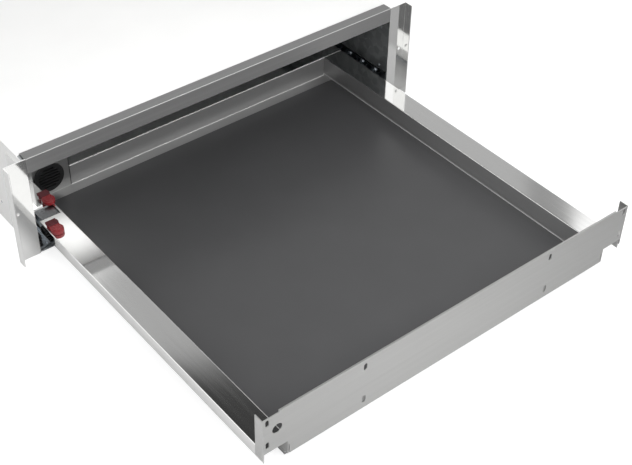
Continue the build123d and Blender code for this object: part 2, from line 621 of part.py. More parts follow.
def air_port_grille():
    """Slotted disc over the port."""
    face = RECESS_REAR - GRILLE_THICK
    disc = rod(PORT_GRILLE / 2, (PORT_X, face, PORT_HEIGHT), (PORT_X, RECESS_REAR, PORT_HEIGHT))
    disc = fillet(disc.edges().filter_by(GeomType.CIRCLE).group_by(Axis.Y)[0], 0.8)
    disc += rod(PORT_HOLE / 2 - 0.1, (PORT_X, RECESS_REAR, PORT_HEIGHT), (PORT_X, RECESS_REAR + 2, PORT_HEIGHT))
    reach = PORT_HOLE / 2 - 3
    pitch = 2 * reach / GRILLE_SLOTS
    for index in range(GRILLE_SLOTS):
        z = (index - (GRILLE_SLOTS - 1) / 2) * pitch
        half = (reach ** 2 - z ** 2) ** 0.5
        disc -= block(PORT_X - half, PORT_X + half, face - 1, RECESS_REAR + 3,
                      PORT_HEIGHT + z - GRILLE_SLOT / 2, PORT_HEIGHT + z + GRILLE_SLOT / 2)
    return disc


def catch(x, y):
    """Quarter-turn catch: round boss, tapering arm towards the back, grip ribs on top."""
    outline = make_hull(
        (Pos(0, 0) * Circle(CATCH_BOSS)).edges() + (Pos(0, CATCH_ARM - CATCH_TIP) * Circle(CATCH_TIP)).edges()
    )
    body = extrude(outline, CATCH_THICK)
    body = fillet(body.faces().sort_by(Axis.Z)[-1].edges(), 1.6)
    for index in range(CATCH_RIBS):
        place = (index - (CATCH_RIBS - 1) / 2) * 2.6 + CATCH_ARM * 0.45
        body -= Pos(0, place, CATCH_THICK) * Box(2 * CATCH_BOSS, 1.3, 1.6)
    body -= Cylinder(PIVOT + PIVOT_FIT, 4 * CATCH_THICK)
    body -= Pos(0, 0, CATCH_THICK) * Cylinder(PIVOT_HEAD + 0.4, 3.2)
    return Pos(x, y, SHELF_TOP + CATCH_LIFT) * body


def catch_pivots():
    """Headed pins that the catches turn on, riveted through the shelf."""
    pins = []
    for x, y in (FRONT_CATCH, REAR_CATCH):
        seat = SHELF_TOP + CATCH_LIFT + CATCH_THICK - 1.6
        pin = rod(PIVOT, (x, y, SHELF_UNDER), (x, y, seat + 0.3))
        pin += rod(PIVOT_HEAD, (x, y, seat + 0.3), (x, y, seat + 1.5))
        pins.append(pin)
    return pins


# ---- rear compartment ---------------------------------------------------------
def rear_baffle():
    """Sheet between the drawer's space and the fan, with the port, the return grille and a foot."""
    baffle = block(-WALL_IN, WALL_IN, BAFFLE, BAFFLE_BACK, FLOOR_LIP_TOP, LIP_UNDER)
    foot_half = WALL_IN - FLOOR_LIP - REAR_LIP_MARGIN
    baffle += block(-foot_half, foot_half, BAFFLE, BAFFLE_BACK + BAFFLE_FOOT, CASING_SHEET, FLOOR_LIP_TOP)
    baffle -= rod(PORT_HOLE / 2, (PORT_X, BAFFLE - 2, PORT_HEIGHT), (PORT_X, BAFFLE_BACK + 2, PORT_HEIGHT))
    baffle -= rod(LATCH_PIN + 0.5, (LATCH_X, BAFFLE - 2, STRIKE_Z), (LATCH_X, BAFFLE_BACK + 2, STRIKE_Z))
    baffle -= rod(SWITCH_PIN + 0.5, (SWITCH_X, BAFFLE - 2, STRIKE_Z), (SWITCH_X, BAFFLE_BACK + 2, STRIKE_Z))
    for column in range(-3, 4):
        height = 2 * ((INLET / 2) ** 2 - (column * 7) ** 2) ** 0.5 - 2
        baffle -= slot_y(FAN_X + column * 7, BAFFLE, FAN_Z, 3.4, height, 8)
    return baffle


def port_seal():
    """Soft ring on the baffle, where the closed drawer's duct box meets the port."""
    ring = rod(PORT_GRILLE / 2, (PORT_X, STRIKE_Y, PORT_HEIGHT), (PORT_X, BAFFLE, PORT_HEIGHT))
    return ring - rod(PORT_HOLE / 2, (PORT_X, STRIKE_Y - 1, PORT_HEIGHT), (PORT_X, BAFFLE + 1, PORT_HEIGHT))


def rubber_buffers():
    """Two buffers on the baffle that stop the drawer."""
    pads = []
    for side in (-1, 1):
        pad = rod(BUFFER / 2, (side * BUFFER_X, STRIKE_Y, STRIKE_Z), (side * BUFFER_X, BAFFLE, STRIKE_Z))
        pads.append(fillet(pad.edges().filter_by(GeomType.CIRCLE).group_by(Axis.Y)[0], 1.2))
    return pads


def fan_housing():
    """Round scroll behind the baffle, open towards it, with a throat down to the air duct."""
    radius = IMPELLER / 2 + FAN_ROOM
    front, back = BAFFLE_BACK, BAFFLE_BACK + FAN_DEPTH
    inner_back = back - FAN_WALL
    duct_right = PORT_X + DUCT_WIDTH / 2
    low = TRAY_FLOOR
    throat_top = low + DUCT_HEIGHT * 0.45
    shell = rod(radius, (FAN_X, front, FAN_Z), (FAN_X, back, FAN_Z))
    shell += block(duct_right, FAN_X, front, back, low, throat_top)
    hollow = rod(radius - FAN_WALL, (FAN_X, front - 1, FAN_Z), (FAN_X, inner_back, FAN_Z))
    hollow += block(duct_right - 1, FAN_X, front - 1, inner_back, low + FAN_WALL, throat_top - FAN_WALL)
    shell -= hollow
    shell -= rod(SHAFT + 1, (FAN_X, inner_back - 1, FAN_Z), (FAN_X, back + 1, FAN_Z))
    return shell


SHAFT_FRONT = BAFFLE_BACK + 4
IMPELLER_FRONT = BAFFLE_BACK + 5


def fan_impeller():
    """Radial wheel: back disc, hub and curved blades with a front ring."""
    back = IMPELLER_FRONT + IMPELLER_WIDTH
    radius = IMPELLER / 2
    disc = rod(radius, (FAN_X, back - 1.2, FAN_Z), (FAN_X, back, FAN_Z))
    hub = rod(9, (FAN_X, IMPELLER_FRONT + 1, FAN_Z), (FAN_X, back, FAN_Z))
    ring = rod(radius, (FAN_X, IMPELLER_FRONT, FAN_Z), (FAN_X, IMPELLER_FRONT + 1.2, FAN_Z))
    ring -= rod(radius - 8, (FAN_X, IMPELLER_FRONT - 1, FAN_Z), (FAN_X, IMPELLER_FRONT + 2, FAN_Z))
    wheel = disc + hub + ring
    for index in range(BLADES):
        turn = 360 * index / BLADES
        blade = Pos(radius - 8, 0, 0) * Rot(0, -35, 0) * Box(14, IMPELLER_WIDTH - 0.4, 1)
        wheel += Pos(FAN_X, (IMPELLER_FRONT + back) / 2, FAN_Z) * Rot(0, turn, 0) * blade
    return wheel - rod(SHAFT, (FAN_X, IMPELLER_FRONT, FAN_Z), (FAN_X, back + 1, FAN_Z))


def fan_shaft():
    return rod(SHAFT, (FAN_X, SHAFT_FRONT, FAN_Z), (FAN_X, BAFFLE_BACK + FAN_DEPTH + MOTOR_DEPTH - 2, FAN_Z))


def fan_motor():
    """Flat motor on the back of the housing, with a bore for the shaft and cooling fins."""
    front = BAFFLE_BACK + FAN_DEPTH
    back = front + MOTOR_DEPTH
    motor = rod(MOTOR / 2, (FAN_X, front, FAN_Z), (FAN_X, back, FAN_Z))
    motor = fillet(motor.edges().filter_by(GeomType.CIRCLE).group_by(Axis.Y)[-1], 2)
    for index in range(16):
        angle = 2 * pi * index / 16
        x = FAN_X + MOTOR * 0.5 * cos(angle)
        z = FAN_Z + MOTOR * 0.5 * sin(angle)
        motor -= rod(1.2, (x, front + 3, z), (x, back + 1, z))
    return motor - rod(SHAFT + PIVOT_FIT, (FAN_X, front - 1, FAN_Z), (FAN_X, back - 1.5, FAN_Z))


def air_duct():
    """Open-fronted duct on the baffle, from the fan's throat past the heater to the port."""
    left, right = PORT_X - DUCT_WIDTH / 2, PORT_X + DUCT_WIDTH / 2
    front, back = BAFFLE_BACK, BAFFLE_BACK + DUCT_DEPTH
    low, high = TRAY_FLOOR, TRAY_FLOOR + DUCT_HEIGHT
    t = FAN_WALL
    duct = block(left, right, front, back, low, high)
    duct -= block(left + t, right - t, front - 1, back - t, low + t, high - t)
    throat_top = low + DUCT_HEIGHT * 0.45
    duct -= block(right - t - 1, right + 1, front - 1, BAFFLE_BACK + FAN_DEPTH - FAN_WALL,
                  low + t, throat_top - t)
    for x in heater_lead_places():
        duct -= rod(HEATER_TUBE / 2 + 0.3, (x, HEATER_Y, high - t - 1), (x, HEATER_Y, high + 1))
    return duct


HEATER_Y = BAFFLE_BACK + 21.0
HEATER_PITCH = 13.0


def heater_lead_places():
    return PORT_X - 1.5 * HEATER_PITCH, PORT_X + 1.5 * HEATER_PITCH


def heater_element():
    """Sheathed tube bent into three loops, with ceramic ends above the duct."""
    left, right = heater_lead_places()
    low = TRAY_FLOOR + 13
    high = TRAY_FLOOR + DUCT_HEIGHT - 14
    top = TRAY_FLOOR + DUCT_HEIGHT + 6
    radius = HEATER_PITCH / 2
    xs = [left + index * HEATER_PITCH for index in range(4)]
    path = Line((xs[0], HEATER_Y, top), (xs[0], HEATER_Y, low))
    pieces = [path]
    for index in range(3):
        x0, x1 = xs[index], xs[index + 1]
        down = index % 2 == 0
        z = low if down else high
        bulge = -radius if down else radius
        pieces.append(ThreePointArc((x0, HEATER_Y, z), ((x0 + x1) / 2, HEATER_Y, z + bulge), (x1, HEATER_Y, z)))
        end = high if index == 0 else low if index == 1 else top
        start = z
        pieces.append(Line((x1, HEATER_Y, start), (x1, HEATER_Y, end)))
    wire = Wire(Curve() + pieces)
    tube = sweep(Plane(origin=(xs[0], HEATER_Y, top), z_dir=(0, 0, -1)) * Circle(HEATER_TUBE / 2), path=wire)
    for x in (xs[0], xs[-1]):
        tube += rod(HEATER_TUBE / 2 + 1.2, (x, HEATER_Y, TRAY_FLOOR + DUCT_HEIGHT), (x, HEATER_Y, top + 5))
        tube += block(x - 3.15, x + 3.15, HEATER_Y - 0.4, HEATER_Y + 0.4, top + 4, top + 12)
    return tube


def bimetal_disc(x, y, z):
    """Disc thermostat: flange, body and two blades, standing on a face."""
    body = rod(12, (x, y, z), (x, y, z + 1))
    body += rod(8, (x, y, z), (x, y, z + 9))
    for side in (-1, 1):
        body += block(x + side * 4 - 0.4, x + side * 4 + 0.4, y - 3, y + 3, z + 8, z + 16)
    return body


def thermostat():
    return bimetal_disc(PORT_X - 2, BAFFLE_BACK + 13.0 - 0.5, TRAY_FLOOR + DUCT_HEIGHT)


def thermal_cutout():
    """Second disc, on the fan housing's throat."""
    x = PORT_X + DUCT_WIDTH / 2 + 12.2
    return bimetal_disc(x, BAFFLE_BACK + 12.2, TRAY_FLOOR + DUCT_HEIGHT * 0.45)


LATCH_WIDTH = 26.0
LATCH_HEIGHT = 18.0
LATCH_DEPTH = 26.0
LATCH_EARS = 48.0            # width over the two screw ears
LATCH_EAR_THICK = 2.5
LATCH_SCREW = 1.8            # radius of the ears' holes


def latch_body():
    """Push latch behind the baffle: guide block with a bore for the plunger."""
    y0, y1 = BAFFLE_BACK, BAFFLE_BACK + LATCH_DEPTH
    low, high = STRIKE_Z - LATCH_HEIGHT / 2, STRIKE_Z + LATCH_HEIGHT / 2
    body = block(LATCH_X - LATCH_WIDTH / 2, LATCH_X + LATCH_WIDTH / 2, y0, y1, low, high)
    body = fillet(body.edges().filter_by(Axis.Y), 2)
    body += block(LATCH_X - LATCH_EARS / 2, LATCH_X + LATCH_EARS / 2, y0, y0 + LATCH_EAR_THICK, low, high)
    body -= rod(LATCH_PIN + PIVOT_FIT, (LATCH_X, y0 - 1, STRIKE_Z), (LATCH_X, y1 - 3, STRIKE_Z))
    hole = (LATCH_EARS + LATCH_WIDTH) / 4
    for side in (-1, 1):
        x = LATCH_X + side * hole
        body -= rod(LATCH_SCREW, (x, y0 - 1, STRIKE_Z), (x, y0 + LATCH_EAR_THICK + 1, STRIKE_Z))
    return body


LATCH_REAR = BAFFLE_BACK + LATCH_DEPTH - 3 - LATCH_TRAVEL - 10    # room for its spring


def latch_plunger():
    """Sprung plunger, rounded at its tip, hollowed for the spring."""
    pin = rod(LATCH_PIN, (LATCH_X, STRIKE_Y, STRIKE_Z), (LATCH_X, LATCH_REAR, STRIKE_Z))
    return fillet(pin.edges().filter_by(GeomType.CIRCLE).group_by(Axis.Y)[0], 1.5)


SWITCH_WIDTH = 28.0
SWITCH_HEIGHT = 10.0
SWITCH_DEPTH = 16.0
BLADE_WIDTH = 6.0            # flat connector blades
BLADE_THICK = 0.8
BLADE_LENGTH = 7.0


def microswitch_body():
    """Door switch behind the baffle."""
    y0, y1 = BAFFLE_BACK, BAFFLE_BACK + SWITCH_DEPTH
    body = block(SWITCH_X - SWITCH_WIDTH / 2, SWITCH_X + SWITCH_WIDTH / 2, y0, y1,
                 STRIKE_Z - SWITCH_HEIGHT / 2, STRIKE_Z + SWITCH_HEIGHT / 2)
    body -= rod(SWITCH_PIN + PIVOT_FIT, (SWITCH_X, y0 - 1, STRIKE_Z), (SWITCH_X, y1 - 4, STRIKE_Z))
    for side in (-1, 0, 1):
        x = SWITCH_X + side * SWITCH_WIDTH * 0.32
        body += block(x - BLADE_THICK / 2, x + BLADE_THICK / 2, y1, y1 + BLADE_LENGTH,
                      STRIKE_Z - BLADE_WIDTH / 2, STRIKE_Z + BLADE_WIDTH / 2)
    return body


def microswitch_plunger():
    pin = rod(SWITCH_PIN, (SWITCH_X, STRIKE_Y, STRIKE_Z), (SWITCH_X, BAFFLE_BACK + SWITCH_DEPTH - 4 - SWITCH_TRAVEL - 1.5, STRIKE_Z))
    return fillet(pin.edges().filter_by(GeomType.CIRCLE).group_by(Axis.Y)[0], 0.8)


TERMINAL_WIDTH = 36.0
TERMINAL_DEPTH = 18.0
TERMINAL_HEIGHT = 16.0
TERMINAL_ASIDE = 50.0        # its left side from the gland
TERMINAL_BEHIND = 14.0       # its front from the baffle
TERMINAL_WELL = 2.6          # radii
TERMINAL_SCREW = 2.2
TERMINAL_WIRE = 1.7


def terminal_block():
    """Ceramic block with three screws, standing on the casing floor."""
    x0, y0 = GLAND_X - TERMINAL_ASIDE, BAFFLE_BACK + TERMINAL_BEHIND
    y1, low, high = y0 + TERMINAL_DEPTH, CASING_SHEET, CASING_SHEET + TERMINAL_HEIGHT
    body = block(x0, x0 + TERMINAL_WIDTH, y0, y1, low, high)
    body = fillet(body.edges().filter_by(Axis.Z), 1.5)
    middle = (y0 + y1) / 2
    for index in range(3):
        x = x0 + TERMINAL_WIDTH * (index + 0.5) / 3
        well, screw = low + TERMINAL_HEIGHT * 0.55, low + TERMINAL_HEIGHT * 0.8
        body -= rod(TERMINAL_WELL, (x, middle, well), (x, middle, high + 1))
        body += rod(TERMINAL_SCREW, (x, middle, well - 1), (x, middle, screw))
        wire = low + TERMINAL_HEIGHT * 0.3
        body -= rod(TERMINAL_WIRE, (x, y0 - 1, wire), (x, y1 + 1, wire))
    return body


def cable_gland():
    """Gland in the rear panel: thread, nut inside, hexagon and dome outside, one bore."""
    inside = REAR_IN - 5
    outside = inside + GLAND_LENGTH
    gland = rod(GLAND_THREAD, (GLAND_X, inside, GLAND_Z), (GLAND_X, outside - 4, GLAND_Z))
    seat = Plane(origin=(GLAND_X, REAR_IN, GLAND_Z), z_dir=(0, -1, 0))
    gland += seat * extrude(RegularPolygon(9.5, 6), 4)
    seat = Plane(origin=(GLAND_X, CASING_DEPTH, GLAND_Z), z_dir=(0, 1, 0))
    gland += seat * extrude(RegularPolygon(9.5, 6), 5)
    dome = rod(8, (GLAND_X, CASING_DEPTH, GLAND_Z), (GLAND_X, outside, GLAND_Z))
    dome = fillet(dome.edges().filter_by(GeomType.CIRCLE).group_by(Axis.Y)[-1], 2)
    gland += dome
    return gland - rod(GLAND_BORE, (GLAND_X, inside - 1, GLAND_Z), (GLAND_X, outside + 1, GLAND_Z))


# ---- all pieces -----------------------------------------------------------------
def pieces():
    """Every node's name with its solid, or its list of solids."""
    right_wall = wall_rear_holes(casing_right_wall())
    bracket = right_bracket()
    fixed_rail = right_fixed_rail()
    mid_rail = right_mid_rail()
    drawer_rail = right_drawer_rail()
    low_cage = right_low_cage()
    high_cage = right_high_cage()
    return {
        "front_beam": front_beam(),
        "left_mounting_bracket": mirrored(bracket),
        "right_mounting_bracket": bracket,
        "casing_floor": casing_floor(),
        "casing_left_wall": mirrored(right_wall),
        "casing_right_wall": right_wall,
        "casing_top": casing_top(),
        "casing_rear_panel": casing_rear_panel(),
        "casing_screws": casing_screws(),
        "bracket_screws": bracket_screws(),
        "left_fixed_rail": mirrored(fixed_rail),
        "right_fixed_rail": fixed_rail,
        "rail_screws": rail_screws(),
        "runner_stops": runner_stops(),
        "left_mid_rail": mirrored(mid_rail),
        "right_mid_rail": mid_rail,
        "left_drawer_rail": mirrored(drawer_rail),
        "right_drawer_rail": drawer_rail,
        "left_lower_cage": mirrored(low_cage),
        "right_lower_cage": low_cage,
        "left_upper_cage": mirrored(high_cage),
        "right_upper_cage": high_cage,
        "left_lower_balls": balls(-1, LOW_CAGE_FRONT, LOW_BALL_Z),
        "right_lower_balls": balls(1, LOW_CAGE_FRONT, LOW_BALL_Z),
        "left_upper_balls": balls(-1, HIGH_CAGE_FRONT, HIGH_BALL_Z),
        "right_upper_balls": balls(1, HIGH_CAGE_FRONT, HIGH_BALL_Z),
        "drawer_tray": drawer_tray(),
        "drawer_front_wall": drawer_front_wall(),
        "base_plate": base_plate(),
        "rear_duct_box": rear_duct_box(),
        "air_port_grille": air_port_grille(),
        "front_catch": catch(*FRONT_CATCH),
        "rear_catch": catch(*REAR_CATCH),
        "catch_pivots": catch_pivots(),
        "rear_baffle": rear_baffle(),
        "port_seal": port_seal(),
        "rubber_buffers": rubber_buffers(),
        "fan_housing": fan_housing(),
        "fan_motor": fan_motor(),
        "fan_impeller": fan_impeller(),
        "fan_shaft": fan_shaft(),
        "air_duct": air_duct(),
        "heater_element": heater_element(),
        "thermostat": thermostat(),
        "thermal_cutout": thermal_cutout(),
        "latch_body": latch_body(),
        "latch_plunger": latch_plunger(),
        "door_switch_body": microswitch_body(),
        "door_switch_plunger": microswitch_plunger(),
        "terminal_block": terminal_block(),
        "cable_gland": cable_gland(),
    }


os.makedirs("parts", exist_ok=True)
for name, shape in pieces().items():
    if isinstance(shape, list):
        shape = Compound(children=shape)
    export_step(shape, f"parts/{name}.step")
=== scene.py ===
import math

import bmesh
import bpy
from mathutils import Matrix, Vector


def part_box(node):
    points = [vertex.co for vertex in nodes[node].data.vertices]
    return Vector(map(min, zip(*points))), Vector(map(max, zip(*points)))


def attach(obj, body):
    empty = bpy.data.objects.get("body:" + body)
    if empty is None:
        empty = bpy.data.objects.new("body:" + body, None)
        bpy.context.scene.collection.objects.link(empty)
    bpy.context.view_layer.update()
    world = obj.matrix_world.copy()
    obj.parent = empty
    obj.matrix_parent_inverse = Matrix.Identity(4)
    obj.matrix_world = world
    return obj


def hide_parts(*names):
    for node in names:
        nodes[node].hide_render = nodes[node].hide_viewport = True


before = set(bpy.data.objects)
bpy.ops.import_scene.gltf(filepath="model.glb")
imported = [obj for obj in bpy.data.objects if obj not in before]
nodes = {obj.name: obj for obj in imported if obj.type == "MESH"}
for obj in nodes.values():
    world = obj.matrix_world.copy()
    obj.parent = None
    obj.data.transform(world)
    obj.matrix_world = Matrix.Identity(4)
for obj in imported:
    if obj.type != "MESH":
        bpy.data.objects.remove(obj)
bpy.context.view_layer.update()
scene = bpy.context.scene


# ---- casing sheets ------------------------------------------------------------
# Floor, side walls, top, rear panel and baffle: 1 mm hot-dip galvanised sheet,
# punched, folded and screwed together. The outside is coated white.
CRYSTAL = 0.009                             # metres across one zinc crystal
WALL_FACE, REAR_FACE = 0.27345, 0.55945     # beyond these a wall's or the rear's outside
CRYSTAL_TONES = "#B4B7B9", "#D2D5D6"
COAT_TONES, COAT_SPREAD = ("#F1F1F0", "#F7F7F6"), 0.09
COAT_PEEL, COAT_DEPTH = 0.0022, 0.000012


def linear(code):
    """An sRGB hex colour as linear red, green, blue and alpha."""
    shares = [int(code[at:at + 2], 16) / 255 for at in (1, 3, 5)]
    return (*(s / 12.92 if s <= 0.04045 else ((s + 0.055) / 1.055) ** 2.4 for s in shares), 1.0)


def join(tree, node, inputs):
    """Sets each input, by name or number, or links other nodes' outputs to it."""
    for name, value in inputs.items():
        if isinstance(name, int):
            socket = node.inputs[name]
        else:
            socket = next(s for s in node.inputs if s.name == name and s.enabled)
        for source in value if isinstance(value, list) else [value]:
            if isinstance(source, bpy.types.Node):
                source = next(s for s in source.outputs if s.enabled)
            if isinstance(source, bpy.types.NodeSocket):
                tree.links.new(source, socket)
            else:
                socket.default_value = source


def add(tree, kind, inputs=(), **settings):
    """One node with its settings. Its inputs go by name, or in order from the first."""
    node = tree.nodes.new(kind)
    for name, value in settings.items():
        setattr(node, name, value)
    join(tree, node, inputs if isinstance(inputs, dict) else dict(enumerate(inputs)))
    return node


def finish(name, colour, metallic, roughness, **plain):
    """A material with plain values; gives it with its tree, shader and the piece's coordinates."""
    material = bpy.data.materials.new(name)
    material.use_nodes = True
    tree = material.node_tree
    shader = tree.nodes["Principled BSDF"]
    join(tree, shader, {"Base Color": linear(colour), "Metallic": metallic, "Roughness": roughness})
    for socket, value in plain.items():
        shader.inputs[socket.replace("_", " ")].default_value = value
    return material, tree, shader, add(tree, "ShaderNodeTexCoord").outputs["Object"]


def cloudy(tree, place, size, detail=2.0, crisp=False):
    """Soft noise from 0 to 1, its size in metres alike or for each axis; crisp spreads it out."""
    sizes = size if isinstance(size, tuple) else (size,) * 3
    scaled = add(tree, "ShaderNodeMapping", {"Vector": place, "Scale": tuple(1 / s for s in sizes)})
    noise = add(tree, "ShaderNodeTexNoise", {"Vector": scaled, "Scale": 1.0, "Detail": detail})
    if not crisp:
        return noise
    return add(tree, "ShaderNodeMapRange", {"Value": noise, "From Min": 0.25, "From Max": 0.75})


def crystals(tree, place):
    """Zinc crystals as cells, each with random values of its own."""
    cells = add(tree, "ShaderNodeTexVoronoi", {"Vector": place, "Scale": 1 / CRYSTAL})
    return add(tree, "ShaderNodeSeparateColor", {"Color": cells.outputs["Color"]}).outputs


def zone(tree, place, *corners):
    """1 in any of the corners and 0 elsewhere. A corner is where all its limits hold: an axis or
    the side, which is the distance from X = 0, a comparison, and its values in metres."""
    spot = add(tree, "ShaderNodeSeparateXYZ", {"Vector": place}).outputs
    anywhere = 0.0
    for corner in corners:
        here = 1.0
        for axis, comparison, *values in corner:
            if axis == "side":
                way = add(tree, "ShaderNodeMath", (spot["X"],), operation="ABSOLUTE")
            else:
                way = spot[axis]
            limit = add(tree, "ShaderNodeMath", (way, *values), operation=comparison)
            here = add(tree, "ShaderNodeMath", (here, limit), operation="MINIMUM")
        anywhere = add(tree, "ShaderNodeMath", (anywhere, here), operation="MAXIMUM")
    return anywhere


def surface(tree, shader, tones=None, shine=None, bumps=(), edge=None, covers=()):
    """Gives a finish its life. Tones are a pattern and two hex colours. Covers lie over them, each
    a zone with a pattern and two hex colours, or with None and one. Shine is a pattern with the
    roughness at its two ends. Bumps are patterns with depths in metres, the lowest first. Edge is
    the radius in metres with which folded or cut sheet catches the light."""
    inputs = {}
    layers = [(None, *tones)] if tones else []
    for cover, pattern, first, *second in [*layers, *covers]:
        layer = linear(first)
        if second:
            layer = add(tree, "ShaderNodeMix", {"Factor": pattern, "A": layer,
                                                "B": linear(second[0])}, data_type="RGBA")
        if cover:
            layer = add(tree, "ShaderNodeMix", {"Factor": cover, "A": inputs["Base Color"],
                                                "B": layer}, data_type="RGBA")
        inputs["Base Color"] = layer
    if shine:
        pattern, low, high, *ends = shine
        start, end = ends or (0.25, 0.75)
        inputs["Roughness"] = add(tree, "ShaderNodeMapRange", {
            "Value": pattern, "From Min": start, "From Max": end, "To Min": low, "To Max": high})
    under = {"Normal": add(tree, "ShaderNodeBevel", {"Radius": edge}, samples=4)} if edge else {}
    for pattern, depth in bumps:
        under = {"Normal": add(tree, "ShaderNodeBump", {"Height": pattern, "Distance": depth,
                                                        **under})}
    join(tree, shader, {**inputs, **under})


def dress(material, *names):
    """Puts a material on CAD nodes."""
    for name in names:
        nodes[name].data.materials.clear()
        nodes[name].data.materials.append(material)


# Galvanised steel, hot dipped: pale blue-grey and half dull, each crystal with its
# own tone and its own shine, so the sheet glitters softly as the eye moves.
galvanised, tree, shader, place = finish("galvanised_steel_hot_dipped", "#D3D7D9", 1.0, 0.42)
cells = crystals(tree, place)
surface(tree, shader, (cells["Red"], *CRYSTAL_TONES), (cells["Green"], 0.34, 0.5, 0.0, 1.0),
        [(cloudy(tree, place, 0.002), 0.00001), (cloudy(tree, place, 0.05), 0.0003)])
dress(galvanised, "casing_floor", "rear_baffle")

# Polyester coil coating: plain white, half matt, with the faint peel of a roller
# coat, so the top looks all but as pale as the paper behind it.
coil_coat, tree, shader, place = finish("steel_coil_coated_white", "#F4F4F3", 0.0, 0.45)
surface(tree, shader, (cloudy(tree, place, COAT_SPREAD), *COAT_TONES),
        (cloudy(tree, place, 0.003), 0.4, 0.52), [(cloudy(tree, place, COAT_PEEL), COAT_DEPTH)])
dress(coil_coat, "casing_top")

# The walls and the rear panel have that coat outside only; inside they keep the
# zinc, with its crystals.
one_coat, tree, shader, place = finish("steel_galvanised_coated_outside", "#F4F4F3", 0.0, 0.45)
outside = zone(tree, place, [("side", "GREATER_THAN", WALL_FACE)],
               [("Y", "GREATER_THAN", REAR_FACE)])
cells = crystals(tree, place)
surface(tree, shader, (cells["Red"], *CRYSTAL_TONES), (cells["Green"], 0.36, 0.5, 0.0, 1.0),
        [(cloudy(tree, place, COAT_PEEL), COAT_DEPTH)],
        covers=[(outside, cloudy(tree, place, COAT_SPREAD), *COAT_TONES)])
join(tree, shader, {"Metallic": add(tree, "ShaderNodeMix", {
    "Factor": outside, "A": 1.0, "B": 0.0}, data_type="FLOAT")})
dress(one_coat, "casing_left_wall", "casing_right_wall", "casing_rear_panel")


# ---- casing screws ------------------------------------------------------------
# Pan-head thread-forming screws through the top and the rear panel: cold-headed
# steel, zinc plated, with a cross recess. Each head sits flat on its sheet.
TOP_HEAD, TOP_HEIGHT = 0.0034, 0.0014
REAR_HEAD, REAR_HEIGHT = 0.0038, 0.0022
SHANK, SHANK_LENGTH = 0.0018, 0.0022
HEAD_SIDES, HEAD_RINGS, SHANK_SIDES = 28, 4, 16
TOP_SCREW_SIDE, TOP_SCREW_ROWS, TOP_SHEET = 0.266, (0.3696, 0.4536, 0.5376), 0.1365
REAR_SCREW_SIDE, REAR_SCREW_ROW, REAR_SCREW_LEVELS = 0.274, 0.553, (0.030, 0.105)


def new_shape_tree(name, *sizes):
    """A geometry tree with an input for each size, and one for the material."""
    tree = bpy.data.node_groups.new(name, "GeometryNodeTree")
    face = tree.interface
    face.new_socket("Geometry", in_out="INPUT", socket_type="NodeSocketGeometry")
    for size in sizes:
        face.new_socket(size, in_out="INPUT", socket_type="NodeSocketFloat")
    face.new_socket("Material", in_out="INPUT", socket_type="NodeSocketMaterial")
    face.new_socket("Geometry", in_out="OUTPUT", socket_type="NodeSocketGeometry")
    return tree, add(tree, "NodeGroupInput").outputs


def close_shape_tree(tree, shape, material):
    """Real geometry with its material, as the tree's result."""
    real = add(tree, "GeometryNodeRealizeInstances", {"Geometry": shape})
    made = add(tree, "GeometryNodeSetMaterial", {"Geometry": real, "Material": material})
    add(tree, "NodeGroupOutput", {"Geometry": made})


def shaped(name, tree, places, axes, **sizes):
    """A plain mesh that the tree makes from points in metres, each with its own axis."""
    points = bpy.data.meshes.new(name)
    points.from_pydata([tuple(p) for p in places], [], [])
    axis = points.attributes.new("axis", "FLOAT_VECTOR", "POINT")
    for item, value in zip(axis.data, axes):
        item.vector = value
    piece = bpy.data.objects.new(name, points)
    scene.collection.objects.link(piece)
    maker = piece.modifiers.new("shape", "NODES")
    maker.node_group = tree
    for item in tree.interface.items_tree:
        if item.in_out == "INPUT" and item.name in sizes:
            maker[item.identifier] = sizes[item.name]
    bpy.context.view_layer.update()
    seen = piece.evaluated_get(bpy.context.evaluated_depsgraph_get())
    mesh = bpy.data.meshes.new_from_object(seen)
    piece.modifiers.remove(maker)
    piece.data = mesh
    return piece


def seated(piece, body, slot, *stands_for):
    """The piece rides on a body and stands for CAD nodes. The slot is not used."""
    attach(piece, body)
    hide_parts(*stands_for)


# Steel, zinc plated and blue passivated: bright and cool, a little milky, with
# fine dents from the barrel it was plated in.
zinc, tree, shader, place = finish("steel_zinc_plated", "#CFD4D8", 1.0, 0.26)
surface(tree, shader, (cloudy(tree, place, 0.004), "#C2C8CE", "#DADEE0"),
        (cloudy(tree, place, 0.002), 0.2, 0.34), [(cloudy(tree, place, 0.0008), 0.000004)])

# One screw stands on 0 along Z: domed head above, recess cut by crossed blocks,
# shank below. It is then turned to each point's axis.
screws, size = new_shape_tree("pan_head_screws", "Head", "Height", "Shank", "Length")
measure = {name: add(screws, "ShaderNodeMath", (size[of], times), operation="MULTIPLY")
           for name, of, times in (
               ("dome's fall", "Height", -0.42), ("head's middle", "Height", 0.5),
               ("recess's length", "Head", 1.05), ("recess's width", "Head", 0.24),
               ("recess's height", "Height", 1.3), ("shank's middle", "Length", -0.5))}
spot = add(screws, "ShaderNodeSeparateXYZ", {"Vector": add(screws, "GeometryNodeInputPosition")})
squares = [add(screws, "ShaderNodeMath", (value, 2.0), operation="POWER")
           for value in (spot.outputs["X"], spot.outputs["Y"], size["Head"])]
reach = add(screws, "ShaderNodeMath", (
    add(screws, "ShaderNodeMath", squares[:2], operation="ADD"), squares[2]), operation="DIVIDE")
fall = add(screws, "ShaderNodeMath", (reach, measure["dome's fall"]), operation="MULTIPLY")
